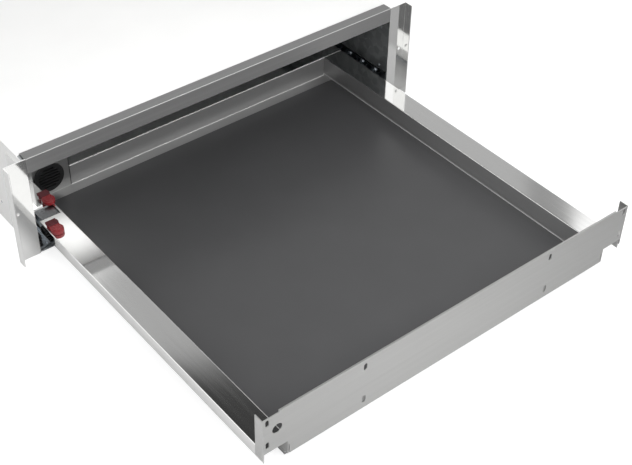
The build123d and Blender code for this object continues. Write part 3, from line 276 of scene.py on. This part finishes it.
dome = add(screws, "GeometryNodeSetPosition", {
    "Geometry": add(screws, "GeometryNodeMeshCylinder", {
        "Vertices": HEAD_SIDES, "Fill Segments": HEAD_RINGS,
        "Radius": size["Head"], "Depth": size["Height"]}),
    "Selection": add(screws, "ShaderNodeMath", (spot.outputs["Z"], 0.0),
                     operation="GREATER_THAN"),
    "Offset": add(screws, "ShaderNodeCombineXYZ", {"Z": fall})})
blocks = [add(screws, "GeometryNodeMeshCube", {"Size": add(screws, "ShaderNodeCombineXYZ", {
    "X": measure[f"recess's {first}"], "Y": measure[f"recess's {second}"],
    "Z": measure["recess's height"]})})
    for first, second in (("length", "width"), ("width", "length"))]
cross = add(screws, "GeometryNodeMeshBoolean", {"Mesh": blocks}, operation="UNION", solver="EXACT")
rod = add(screws, "GeometryNodeMeshCylinder", {
    "Vertices": SHANK_SIDES, "Radius": size["Shank"], "Depth": size["Length"]})
head, recess, shank = (add(screws, "GeometryNodeTransform", {
    "Geometry": shape, "Translation": add(screws, "ShaderNodeCombineXYZ", {"Z": lift})})
    for shape, lift in ((dome, measure["head's middle"]), (cross, size["Height"]),
                        (rod, measure["shank's middle"])))
# The exact solver keeps the cut closed where the crossed blocks' ends lie in one plane.
cut_head = add(screws, "GeometryNodeMeshBoolean", {"Mesh 1": head, "Mesh 2": [recess]},
               operation="DIFFERENCE", solver="EXACT")
screw = add(screws, "GeometryNodeJoinGeometry", {"Geometry": [cut_head, shank]})
turned = add(screws, "FunctionNodeAlignRotationToVector", {
    "Vector": add(screws, "GeometryNodeInputNamedAttribute", {"Name": "axis"},
                  data_type="FLOAT_VECTOR")}, axis="Z")
close_shape_tree(screws, add(screws, "GeometryNodeInstanceOnPoints", {
    "Points": size["Geometry"], "Instance": screw, "Rotation": turned}), size["Material"])


def screwed(name, places, outward, head, height, length, stands_for):
    """Pan-head screws. Outward is 1 for heads away from X = 0, -1 towards it and 0 for up."""
    axes = [(outward * math.copysign(1, x), 0, 0) if outward else (0, 0, 1) for x, y, z in places]
    piece = shaped(name, screws, places, axes, Head=head, Height=height, Shank=SHANK,
                   Length=length, Material=zinc)
    seated(piece, "casing", "screw_zinc", stands_for)


screwed("casing_top_screws",
        [(side * TOP_SCREW_SIDE, y, TOP_SHEET) for side in (-1, 1) for y in TOP_SCREW_ROWS],
        0, TOP_HEAD, TOP_HEIGHT, SHANK_LENGTH, "casing_screws")
screwed("casing_rear_screws",
        [(side * REAR_SCREW_SIDE, REAR_SCREW_ROW, z) for side in (-1, 1)
         for z in REAR_SCREW_LEVELS],
        1, REAR_HEAD, REAR_HEIGHT, SHANK_LENGTH, "casing_screws")


# ---- mounting brackets --------------------------------------------------------
# A plate each side of the opening, one cabinet screw hole at mid height, outer
# edge folded forward: 1.2 mm stainless sheet, screwed to the casing walls.
BRACKET_HEAD, BRACKET_HEIGHT, BRACKET_SHANK_LENGTH = 0.0038, 0.0022, 0.0035
BRACKET_SCREW_SIDE, BRACKET_SCREW_ROW = 0.2752, 0.019
BRACKET_SCREW_LEVELS = 0.03864, 0.09936
BRIGHT_TONES, BRIGHT_SPREAD = ("#F1F1F0", "#F7F7F6"), (0.012, 0.3, 0.012)
BRIGHT_HAZE, BRIGHT_SHINE = (0.006, 0.25, 0.006), (0.05, 0.1)
BRIGHT_EDGE = 0.0006


def rolled(tree, place):
    """What rolling leaves in bright sheet: fine lines along it, and over them a slow wave."""
    return [(cloudy(tree, place, (0.0025, 0.09, 0.0025)), 0.000003),
            (cloudy(tree, place, (0.07, 0.16, 0.07), 1.0), 0.00022)]


# Stainless steel, cold rolled and bright annealed: a clear mirror with a slow
# wave in the sheet and a faint haze drawn out along the rolling direction.
bright, tree, shader, place = finish("stainless_steel_bright_annealed", "#F4F4F3", 1.0, 0.07)
surface(tree, shader, (cloudy(tree, place, BRIGHT_SPREAD), *BRIGHT_TONES),
        (cloudy(tree, place, BRIGHT_HAZE, 3.0), *BRIGHT_SHINE), rolled(tree, place), BRIGHT_EDGE)
dress(bright, "left_mounting_bracket", "right_mounting_bracket")
screwed("bracket_pan_screws",
        [(side * BRACKET_SCREW_SIDE, BRACKET_SCREW_ROW, z) for side in (-1, 1)
         for z in BRACKET_SCREW_LEVELS],
        1, BRACKET_HEAD, BRACKET_HEIGHT, BRACKET_SHANK_LENGTH, "bracket_screws")


# ---- front beam ---------------------------------------------------------------
# The channel over the opening, folded from satin stainless sheet; its top runs
# back onto the casing's top.
BEAM_FACE, BEAM_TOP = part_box("front_beam")[0][1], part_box("front_beam")[1][2]
BEAM_PAINTED_HIGHLIGHT = 0.0007                          # half the width of the painted highlight along its fold

# Stainless steel, ground and passivated dark: half metal, half haze, with fine
# lines along the beam that draw every reflection out across them.
tinted, tree, shader, place = finish("stainless_steel_dark_satin", "#8A8A8A", 0.5, 0.4)
lines = cloudy(tree, place, (0.18, 0.0012, 0.0012), 3.0)
# The fold between the beam's face and its top is coloured pale grey: a painted highlight.
painted_fold_highlight = zone(tree, place, [("Y", "COMPARE", BEAM_FACE, BEAM_PAINTED_HIGHLIGHT),
                          ("Z", "COMPARE", BEAM_TOP, BEAM_PAINTED_HIGHLIGHT)])
surface(tree, shader, (cloudy(tree, place, (0.25, 0.004, 0.004)), "#767676", "#828282"),
        (lines, 0.34, 0.46), [(lines, 0.00001)], 0.0009, [(painted_fold_highlight, None, "#B4B4B3")])
dress(tinted, "front_beam")


# ---- runners ------------------------------------------------------------------
# Full-extension telescopic runners: a fixed, a middle and a drawer rail each
# side, roll-formed from zinc-plated strip, ball cages between them.
RAIL_HEAD, RAIL_HEIGHT = 0.0038, 0.0022
RAIL_SCREW_SIDE, RAIL_SCREW_LEVEL = 0.2718, 0.027
RAIL_SCREW_ROWS = 0.0265, 0.0535, 0.0805, 0.229, 0.4225
BALL_RADIUS = 0.0016
BALL_PITCH, BALLS_PER_ROW = 0.022, 8
BALL_RACES = 0.2359, 0.2534                 # inner and outer row, from the middle
BALL_ROWS = ("lower", 0.011, 0.0073), ("upper", -0.142, 0.0243)     # start along Y, height
RAIL_PAINTED_SHADE_TOP = 0.0325                        # height above which the rails are coloured darker: painted shade

# Roll-formed zinc-plated strip: bright cool grey, drawn lines along the rail, a thin film of grease
# that blurs them in places. The drawer rails' top, which shows through the shelf's notch, is
# coloured darker: painted shade under the shelf.
strip, tree, shader, place = finish("steel_strip_roll_formed_zinc_plated", "#C9CDD1", 1.0, 0.28)
drawn = cloudy(tree, place, (0.0012, 0.12, 0.0012), 3.0)
surface(tree, shader, (drawn, "#BEC3C8", "#D3D7DA"),
        (cloudy(tree, place, (0.01, 0.05, 0.01)), 0.22, 0.36), [(drawn, 0.000006)],
        covers=[(zone(tree, place, [("Z", "GREATER_THAN", RAIL_PAINTED_SHADE_TOP)]),
                 cloudy(tree, place, (0.003, 0.008, 0.003)), "#6E7072", "#8E9092")])
dress(strip, "left_fixed_rail", "right_fixed_rail", "left_mid_rail", "right_mid_rail",
      "left_drawer_rail", "right_drawer_rail")

# Cages: thin yellow-passivated steel strip, punched for the balls, half dull.
yellow, tree, shader, place = finish("steel_strip_yellow_passivated", "#B9AE8E", 1.0, 0.34)
surface(tree, shader, (cloudy(tree, place, (0.006, 0.012, 0.006)), "#A99F86", "#C4BA9C"),
        (cloudy(tree, place, 0.003), 0.28, 0.42))
dress(yellow, "left_lower_cage", "right_lower_cage", "left_upper_cage", "right_upper_cage")

# Bearing balls: hardened chrome steel, lapped to a dark mirror, oiled.
chrome_steel, tree, shader, place = finish("bearing_steel_lapped", "#B8B8BA", 1.0, 0.07)
surface(tree, shader, shine=(cloudy(tree, place, 0.001), 0.05, 0.12))
balls, size = new_shape_tree("bearing_balls", "Radius")
ball = add(balls, "GeometryNodeSetShadeSmooth", {"Geometry": add(
    balls, "GeometryNodeMeshIcoSphere", {"Radius": size["Radius"], "Subdivisions": 2})})
close_shape_tree(balls, add(balls, "GeometryNodeInstanceOnPoints", {
    "Points": size["Geometry"], "Instance": ball}), size["Material"])
for side, hand in ((-1, "left"), (1, "right")):
    for level, start, height in BALL_ROWS:
        rows = [(side * across, start + BALL_PITCH * (index + 0.5), height)
                for across in BALL_RACES for index in range(BALLS_PER_ROW)]
        piece = shaped(f"{hand}_{level}_ball_rows", balls, rows, [(0, 0, 1)] * len(rows),
                       Radius=BALL_RADIUS, Material=chrome_steel)
        seated(piece, f"{hand}_{level}_ball_cage", "ball_steel", f"{hand}_{level}_balls")
screwed("rail_pan_screws",
        [(side * RAIL_SCREW_SIDE, y, RAIL_SCREW_LEVEL) for side in (-1, 1)
         for y in RAIL_SCREW_ROWS],
        -1, RAIL_HEAD, RAIL_HEIGHT, SHANK_LENGTH, "rail_screws")

# Glass-filled polyamide, injection moulded black: soft black with a fine grain
# from the spark-eroded mould and a broad, weak shine.
polyamide, tree, shader, place = finish("polyamide_glass_filled_moulded", "#151516", 0.0, 0.42)
grain = cloudy(tree, place, 0.0009, 3.0)
surface(tree, shader, (grain, "#0D0D0E", "#161617"), (grain, 0.34, 0.5), [(grain, 0.00003)])
dress(polyamide, "runner_stops", "latch_body", "door_switch_body", "cable_gland")


# ---- heating group ------------------------------------------------------------
# Behind the baffle: a radial fan in a folded housing, a duct with a tubular
# heater, its thermostat and cut-out, all spot welded or screwed to the baffle.
dress(galvanised, "fan_housing", "air_duct")

# Aluminium sheet, pressed and riveted: pale, slightly warm, satin from the die.
aluminium, tree, shader, place = finish("aluminium_sheet_pressed", "#DCDDDC", 1.0, 0.38)
surface(tree, shader, (cloudy(tree, place, 0.006), "#D2D3D2", "#E4E4E2"),
        (cloudy(tree, place, 0.0015), 0.32, 0.46))
dress(aluminium, "fan_impeller")
dress(zinc, "fan_shaft")

# Motor case: cast metal with stoved black paint, faint orange peel, worn a
# little grey where the paint is thin.
painted, tree, shader, place = finish("cast_motor_case_black_paint", "#1F2022", 0.0, 0.38)
peel = cloudy(tree, place, 0.0016)
surface(tree, shader, (cloudy(tree, place, 0.02, crisp=True), "#1A1B1D", "#2A2B2D"),
        (peel, 0.3, 0.46), [(peel, 0.00004)])
dress(painted, "fan_motor")

# Heater tube: nickel-chromium sheath, annealed and tinted brown by its own heat.
sheath, tree, shader, place = finish("heater_sheath_heat_tinted", "#7C6F63", 1.0, 0.4)
surface(tree, shader, (cloudy(tree, place, 0.012, crisp=True), "#6A5E58", "#8F8376"),
        (cloudy(tree, place, 0.003), 0.34, 0.5))
dress(sheath, "heater_element")

# Steatite: dense fired ceramic, cream white, smooth but dull, with fine specks.
steatite, tree, shader, place = finish("steatite_fired", "#E4DFD2", 0.0, 0.5)
surface(tree, shader, (cloudy(tree, place, 0.0012, crisp=True), "#DAD4C5", "#ECE8DD"),
        bumps=[(cloudy(tree, place, 0.0008), 0.00002)])
dress(steatite, "thermostat", "thermal_cutout", "terminal_block")


# ---- baffle fittings ----------------------------------------------------------
# What the closed drawer meets: the seal round the air port, rubber buffers, the
# push latch with its pin, and the door switch with its button. All are moulded
# and fixed in or on the baffle.

# Silicone rubber, moulded grey: dull, soft edged, a trace of dust.
silicone, tree, shader, place = finish("silicone_rubber_moulded", "#8E9092", 0.0, 0.6)
surface(tree, shader, (cloudy(tree, place, 0.004), "#85878A", "#9A9C9E"),
        bumps=[(cloudy(tree, place, 0.001), 0.00002)])
dress(silicone, "port_seal")

# EPDM rubber, moulded black: very dull, greyer where talc sits on it.
rubber, tree, shader, place = finish("epdm_rubber_moulded", "#1C1C1C", 0.0, 0.72)
surface(tree, shader, (cloudy(tree, place, 0.003), "#171717", "#2B2B2A"),
        bumps=[(cloudy(tree, place, 0.0009), 0.00003)])
dress(rubber, "rubber_buffers")

# Acetal, moulded grey: the latch pin slides in it without oil, so it is smooth
# and slightly waxy.
acetal, tree, shader, place = finish("acetal_moulded_grey", "#9B9D9F", 0.0, 0.34)
surface(tree, shader, (cloudy(tree, place, 0.003), "#929497", "#A5A7A9"),
        (cloudy(tree, place, 0.001), 0.28, 0.42))
dress(acetal, "latch_plunger")


# ---- drawer tray --------------------------------------------------------------
# One bright stainless sheet, folded and welded: a shallow recess, a shelf along
# each side with a skirt, a rim at the back, and a notch in the left shelf.
RECESS_SIDE, RECESS_TOP = 0.2312, 0.0338    # the recess's walls, below the shelves
RECESS_METAL, RECESS_DULL = 0.8, 0.26       # less metallic and rougher in there
BEND_BACK, BEND_TOP, BEND_FOOT = 0.0849, 0.0341, 0.0050     # folds of the recess's back wall, with painted highlights
BEND_SIDE, BEND_PLATE = 0.2292, 0.0080      # side walls' foot along the base plate, with a painted highlight
PAINTED_HIGHLIGHT_REACH, PAINTED_HIGHLIGHT_METAL = 0.0008, 0.2        # half a painted highlight's width, and its metallic

# The sheet is bright on the shelves, the skirts and the rim; inside the recess it is half dull and
# coloured darker grey as painted shade, with painted highlights as light lines on its folds.
pressed, tree, shader, place = finish("stainless_steel_bright_outside_recess", "#F4F4F3", 1.0, 0.07)
# Pale grey, less metallic lines on the back wall's two folds and along the side walls' foot:
# painted highlights.
painted_fold_highlight = zone(tree, place,
            [("Y", "COMPARE", BEND_BACK, PAINTED_HIGHLIGHT_REACH), ("Z", "COMPARE", BEND_TOP, PAINTED_HIGHLIGHT_REACH)],
            [("Y", "COMPARE", BEND_BACK, PAINTED_HIGHLIGHT_REACH), ("Z", "COMPARE", BEND_FOOT, PAINTED_HIGHLIGHT_REACH)],
            [("side", "COMPARE", BEND_SIDE, PAINTED_HIGHLIGHT_REACH), ("Z", "COMPARE", BEND_PLATE, PAINTED_HIGHLIGHT_REACH)])
# Inside the recess the darker grey colour and the lower metallic are painted shade; the higher
# roughness there is the sheet's own.
inside = zone(tree, place, [("side", "LESS_THAN", RECESS_SIDE), ("Z", "LESS_THAN", RECESS_TOP)])
surface(tree, shader, (cloudy(tree, place, BRIGHT_SPREAD), *BRIGHT_TONES),
        (cloudy(tree, place, BRIGHT_HAZE, 3.0), *BRIGHT_SHINE), rolled(tree, place), BRIGHT_EDGE,
        [(inside, cloudy(tree, place, (0.05, 0.05, 0.01)), "#A2A2A2", "#ACACAC"),
         (painted_fold_highlight, None, "#C4C4C3")])
haze = shader.inputs["Roughness"].links[0].from_node     # from surface's shine
metal = add(tree, "ShaderNodeMix", {"Factor": inside, "A": 1.0, "B": RECESS_METAL},
            data_type="FLOAT")
join(tree, shader, {
    "Metallic": add(tree, "ShaderNodeMix", {"Factor": painted_fold_highlight, "A": metal, "B": PAINTED_HIGHLIGHT_METAL},
                    data_type="FLOAT"),
    "Roughness": add(tree, "ShaderNodeMath", (inside, RECESS_DULL, haze),
                     operation="MULTIPLY_ADD")})
dress(pressed, "drawer_tray")


# ---- drawer front wall --------------------------------------------------------
# Plain satin stainless sheet with folded ends, a hem along its top and slots for
# the decor front's screws. It is spot welded to the tray's front edge.
SEAM, SEAM_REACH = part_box("rear_duct_box")[1][0] - 0.0004, 0.0007   # the duct box's right edge

# Stainless steel, belt ground along its length: pale grey satin whose fine lines
# spread highlights across them. The duct box's open edge is a dark line.
satin, tree, shader, place = finish("stainless_steel_belt_ground", "#C1C1C0", 1.0, 0.36)
lines = cloudy(tree, place, (0.12, 0.0014, 0.0014), 3.0)
seam = zone(tree, place, [("X", "COMPARE", SEAM, SEAM_REACH), ("Y", "GREATER_THAN", 0.0)])
surface(tree, shader, (cloudy(tree, place, (0.2, 0.005, 0.005)), "#BDBDBC", "#C5C5C4"),
        (lines, 0.31, 0.42), [(lines, 0.000008)], 0.0008, [(seam, None, "#3C3C3C")])
dress(satin, "drawer_front_wall", "rear_duct_box")


# ---- base plate ---------------------------------------------------------------
# The loose plate that warm dishes stand on: steel sheet with rounded corners and a
# dark baked coating, laid in the tray's recess.

# Baked coating on steel: charcoal with a fine leathery texture and a soft sheen
# that lightens towards the room. The texture is drawn coarse enough to show.
coating, tree, shader, place = finish("steel_baked_dark_coating", "#3C3C3D", 0.0, 0.32)
leather = cloudy(tree, place, 0.0035)
surface(tree, shader, (cloudy(tree, place, 0.05), "#3A3A3B", "#3F3F40"), (leather, 0.29, 0.34),
        [(leather, 0.000002)], 0.0006)
dress(coating, "base_plate")


# ---- air port grille ----------------------------------------------------------
# The disc that warm air blows through: moulded in black with slots, and snapped
# into the duct box in front of the port.
dress(polyamide, "air_port_grille")


# ---- turn catches -------------------------------------------------------------
# Two quarter-turn catches on the left shelf, moulded in red, each on a headed
# pin riveted through the shelf. A round boss runs out into a ribbed thumb lobe.
CATCH_PLACES = (("front", "front_turn_catch", -0.252, -0.0165),
                ("rear", "rear_turn_catch", -0.2335, 0.037))
CATCH_BOSS, CATCH_LOBE, CATCH_REACH, CATCH_NECK = 0.0078, 0.0068, 0.0118, 0.0064
CATCH_LOW, CATCH_TOP, CATCH_ROUND = 0.0346, 0.0392, 0.0010
OUTLINE_STEPS, OUTLINE_BLEND = 40, 6        # a higher blend follows boss and lobe closer
RIB_SIDES = 14
CAP_RADIUS, CAP_TOP, CAP_STEPS = 0.0056, 0.0398, 32
CAP_SUNK = 0.0005                           # how deep the cap stands in the body
ROUND_SEGMENTS, ROUND_FROM = 3, 50          # degrees from which an edge is rounded
RIB_RADIUS, RIB_SPOTS = 0.0012, ((0.0146, (-0.0009, 0.0018)), (0.0130, (-0.0036, 0.0045)))

# ABS, moulded red: saturated and glossy; the ribs on its thumb lobe are darker, as painted shade.
red, tree, shader, place = finish("abs_moulded_red", "#77161C", 0.0, 0.22)
surface(tree, shader, (cloudy(tree, place, 0.006), "#6E1218", "#811A20"),
        (cloudy(tree, place, 0.0012), 0.2, 0.34), [(cloudy(tree, place, 0.0015), 0.00001)])
# The same plastic on the thumb ribs: spark-eroded matt, and coloured deep maroon as painted shade
# on the ribbed lobe.
rib_painted_shade, tree, shader, place = finish("abs_moulded_red_ribs_painted_shade", "#430B12", 0.0, 0.5)
surface(tree, shader, (cloudy(tree, place, 0.003), "#3A0910", "#4E0E16"),
        bumps=[(cloudy(tree, place, 0.0008), 0.00003)])
dress(red, "door_switch_plunger")
dress(zinc, "catch_pivots")


def half_width(y):
    """Half the catch's width at a distance from its pin: boss, waist and lobe run together."""
    boss = math.sqrt(max(CATCH_BOSS ** 2 - y ** 2, 0.0))
    lobe = math.sqrt(max(CATCH_LOBE ** 2 - (y - CATCH_REACH) ** 2, 0.0))
    neck = CATCH_NECK if 0.0 < y < CATCH_REACH else 0.0
    return sum(part ** OUTLINE_BLEND for part in (boss, lobe, neck)) ** (1 / OUTLINE_BLEND)


# Ribs: half-round bars across the thumb lobe, sunk to their middles.
ribs, size = new_shape_tree("catch_ribs", "Radius", "Length")
rib = add(ribs, "GeometryNodeTransform", {
    "Geometry": add(ribs, "GeometryNodeMeshCylinder", {
        "Vertices": RIB_SIDES, "Radius": size["Radius"], "Depth": size["Length"]}),
    "Rotation": (0.0, math.pi / 2, 0.0)})
close_shape_tree(ribs, add(ribs, "GeometryNodeInstanceOnPoints", {
    "Points": size["Geometry"], "Instance": rib}), size["Material"])


def add_column(shape, outline, low, high):
    """A closed prism of an outline between two heights."""
    bottom = [shape.verts.new((across, spot, low)) for across, spot in outline]
    top = [shape.verts.new((across, spot, high)) for across, spot in outline]
    for index in range(len(outline)):
        after = (index + 1) % len(outline)
        shape.faces.new((bottom[index], bottom[after], top[after], top[index]))
    shape.faces.new(bottom[::-1])
    shape.faces.new(top)


tip = CATCH_REACH + CATCH_LOBE
middle, span = (tip - CATCH_BOSS) / 2, (tip + CATCH_BOSS) / 2
along = [middle - span * math.cos(math.pi * index / OUTLINE_STEPS)
         for index in range(OUTLINE_STEPS + 1)]
turns = [math.tau * index / CAP_STEPS for index in range(CAP_STEPS)]
for name, body, x, y in CATCH_PLACES:
    east = [(x + half_width(spot), y + spot) for spot in along]
    west = [(x - half_width(spot), y + spot) for spot in reversed(along[1:-1])]
    cap = [(x + CAP_RADIUS * math.cos(turn), y + CAP_RADIUS * math.sin(turn)) for turn in turns]
    shape = bmesh.new()
    add_column(shape, east + west, CATCH_LOW, CATCH_TOP)
    add_column(shape, cap, CATCH_TOP - CAP_SUNK, CAP_TOP)
    bmesh.ops.recalc_face_normals(shape, faces=shape.faces)
    mesh = bpy.data.meshes.new(f"{name}_catch_body")
    shape.to_mesh(mesh)
    shape.free()
    mesh.materials.append(red)
    piece = bpy.data.objects.new(f"{name}_catch_body", mesh)
    scene.collection.objects.link(piece)
    rounded = piece.modifiers.new("rounded", "BEVEL")
    rounded.width, rounded.segments = CATCH_ROUND, ROUND_SEGMENTS
    rounded.limit_method, rounded.angle_limit = "ANGLE", math.radians(ROUND_FROM)
    seated(piece, body, "red_plastic", f"{name}_catch")
    for rib_length, spots in RIB_SPOTS:
        bars = [(x, y + CATCH_REACH + spot, CATCH_TOP) for spot in spots]
        piece = shaped(f"{name}_catch_ribs_{rib_length * 10000:.0f}", ribs, bars,
                       [(0, 0, 1)] * len(bars), Radius=RIB_RADIUS, Length=rib_length, Material=rib_painted_shade)
        seated(piece, body, "red_plastic", f"{name}_catch")


# ---- studio -------------------------------------------------------------------
# A pale floor, a world of soft panels that the bright sheet mirrors, soft lamps
# round the drawer and inside the casing, and the photograph's camera.
CAMERA_PLACE = (-0.7081, -1.0388, 0.9682)
CAMERA_AZIMUTH, CAMERA_HEIGHT, CAMERA_ROLL = -39.599, 40.678, 1.263
CAMERA_LENS = 69.9
FLOOR_REACH, UNDER = 6, -0.0004
FLOOR_WHITE = 0.8                           # added where the camera sees the floor
# Painted light on the floor, added only where metal mirrors it: strengths at two places along X, in
# metres. It falls slowly to the right, is brighter beyond X = -0.28 and darker beyond X = 0.37.
FLOOR_GLOWS = ((0.165, 0.13, -0.35, 0.35), (0.18, 0.0, -0.28, -0.26), (0.0, -0.13, 0.358, 0.37))
BAND_WHITE, OVERHEAD_DARK = 1.15, 0.045
LEAN, LEAN_FROM = 0.54, 27                  # the band's edge falls by this share past 27 degrees
FIELD_FROM, FIELD_TO, FIELD_DIP = (0.42, 33), (0.46, 46), 0.15      # strength and degrees
DIFFUSE_LIGHT = 0.5                         # what the surroundings lend to matt pieces

floor_mesh = bpy.data.meshes.new("studio_floor")
floor_mesh.from_pydata([(x * FLOOR_REACH, y * FLOOR_REACH, UNDER) for x, y in (
    (-1, -1), (1, -1), (1, 1), (-1, 1))], [], [(0, 1, 2, 3)])
floor = bpy.data.objects.new("studio_floor", floor_mesh)
scene.collection.objects.link(floor)
# Matt paper: pale to the camera and in reflections, grey where light falls on it,
# so that it keeps the drawer's shadow.
paper, tree, shader, place = finish("floor_paper_matt", "#A0A0A0", 0.0, 0.9, Specular_IOR_Level=0.0)
ray = add(tree, "ShaderNodeLightPath")
over_floor = add(tree, "ShaderNodeSeparateXYZ", {"Vector": place})
glow = 0.0
for first, last, start, end in FLOOR_GLOWS:
    stretch = add(tree, "ShaderNodeMapRange", {
        "Value": over_floor.outputs["X"], "From Min": start, "From Max": end,
        "To Min": first, "To Max": last})
    glow = add(tree, "ShaderNodeMath", (glow, stretch), operation="ADD")
white = add(tree, "ShaderNodeMath", (ray.outputs["Is Camera Ray"], FLOOR_WHITE),
            operation="MULTIPLY")
surface(tree, shader, (cloudy(tree, place, 0.5), "#9E9E9E", "#A2A2A2"))
join(tree, shader, {
    "Emission Color": linear("#FFFFFF"),
    "Emission Strength": add(tree, "ShaderNodeMath", (ray.outputs["Is Glossy Ray"], glow, white),
                             operation="MULTIPLY_ADD")})
floor_mesh.materials.append(paper)

world = bpy.data.worlds.new("studio")
scene.world = world
world.use_nodes = True
tree = world.node_tree
tree.nodes.clear()
ray = add(tree, "ShaderNodeLightPath")
way = add(tree, "ShaderNodeSeparateXYZ",
          {"Vector": add(tree, "ShaderNodeTexCoord").outputs["Generated"]}).outputs
height = add(tree, "ShaderNodeMath", (way["Z"],), operation="ARCSINE")
around = add(tree, "ShaderNodeMath", (way["X"], way["Y"]), operation="ARCTAN2")
apart = add(tree, "ShaderNodeMath", (around,), operation="ABSOLUTE")
past = add(tree, "ShaderNodeMath", (around, math.radians(LEAN_FROM)), operation="SUBTRACT")
lean = add(tree, "ShaderNodeMath", (past, LEAN), operation="MULTIPLY")
tilted = add(tree, "ShaderNodeMath", (height, lean), operation="ADD")

# A white band stands round the horizon, with its edge falling to the right; over
# it a grey field, and a dark one overhead to the back left. Each edge is soft
# between two angles in degrees.
edges = {name: add(tree, "ShaderNodeMapRange", {
    "Value": source, "From Min": math.radians(low), "From Max": math.radians(high)},
    interpolation_type="SMOOTHSTEP") for name, source, low, high in (
        ("over the band", tilted, 40.6, 41.8), ("overhead", height, 45.4, 47.8),
        ("to the right", around, 54.5, 55.3), ("behind", apart, 70, 90),
        ("dip in the field", around, 51.4, 52.6))}
slope = add(tree, "ShaderNodeMapRange", {
    "Value": around, "From Min": math.radians(FIELD_FROM[1]),
    "From Max": math.radians(FIELD_TO[1]), "To Min": FIELD_FROM[0], "To Max": FIELD_TO[0]})
dip = add(tree, "ShaderNodeMath", (edges["dip in the field"], FIELD_DIP), operation="MULTIPLY")
strength = add(tree, "ShaderNodeMath", (slope, dip), operation="SUBTRACT")
plain = add(tree, "ShaderNodeMix", {"Factor": ray.outputs["Is Camera Ray"], "A": DIFFUSE_LIGHT,
                                    "B": 1.0}, data_type="FLOAT")
around_it = add(tree, "ShaderNodeMath", (edges["to the right"], edges["behind"]),
                operation="MAXIMUM")
for share, below, above in ((edges["overhead"], None, OVERHEAD_DARK),
                            (edges["over the band"], BAND_WHITE, None),
                            (around_it, None, BAND_WHITE),
                            (ray.outputs["Is Glossy Ray"], plain, None)):
    strength = add(tree, "ShaderNodeMix", {
        "Factor": share, "A": strength if below is None else below,
        "B": strength if above is None else above}, data_type="FLOAT")
sky = add(tree, "ShaderNodeBackground", {"Color": (1, 1, 1, 1), "Strength": strength})
add(tree, "ShaderNodeOutputWorld", {"Surface": sky})

# Each lamp's place, aim, watts, size in metres, and whether metal mirrors it. The
# last two stand inside the casing: one lights its top from below, where the left
# shelf mirrors it, and the other is a card that the shelf mirrors itself.
for name, spot, aim, power, width, mirrored in (
        ("key_lamp", (0.9, -1.5, 1.9), (0, -0.2, 0), 14.0, 1.4, False),
        ("fill_lamp", (-1.6, 0.2, 1.4), (0, -0.1, 0), 17.0, 1.6, False),
        ("front_lamp", (0.2, -2.3, 0.75), (-0.1, 0, 0.05), 16.0, 1.0, False),
        ("near_lamp", (-0.05, -0.54, 0.42), (0.02, -0.3, 0.03), 3.0, 0.4, False),
        ("inner_lamp", (-0.188, 0.08, 0.106), (-0.188, 0.08, 0.137), 0.036, 0.08, False),
        ("shelf_card", (-0.235, 0.135, 0.096), (-0.235, 0.137, 0.0), 0.02, 0.06, True)):
    lamp = bpy.data.lights.new(name, "AREA")
    lamp.energy = power
    lamp.size = width
    holder = bpy.data.objects.new(name, lamp)
    holder.location = spot
    holder.rotation_euler = (Vector(aim) - Vector(spot)).to_track_quat("-Z", "Y").to_euler()
    holder.visible_camera = False
    holder.visible_glossy = mirrored
    scene.collection.objects.link(holder)

azimuth, rise, roll = (math.radians(a) for a in (CAMERA_AZIMUTH, CAMERA_HEIGHT, CAMERA_ROLL))
back = Vector((math.sin(azimuth) * math.cos(rise), -math.cos(azimuth) * math.cos(rise),
               math.sin(rise)))
right = (-back).cross(Vector((0, 0, 1))).normalized()
up = right.cross(-back)
across = math.cos(roll) * right + math.sin(roll) * up
upward = -math.sin(roll) * right + math.cos(roll) * up
camera = bpy.data.objects.new("camera", bpy.data.cameras.new("camera"))
camera.data.lens = CAMERA_LENS
camera.data.sensor_width = 36.0
turned_back = Matrix((across, upward, back)).transposed().to_4x4()
camera.matrix_world = Matrix.Translation(CAMERA_PLACE) @ turned_back
scene.collection.objects.link(camera)
scene.camera = camera
scene.view_settings.view_transform = "Standard"
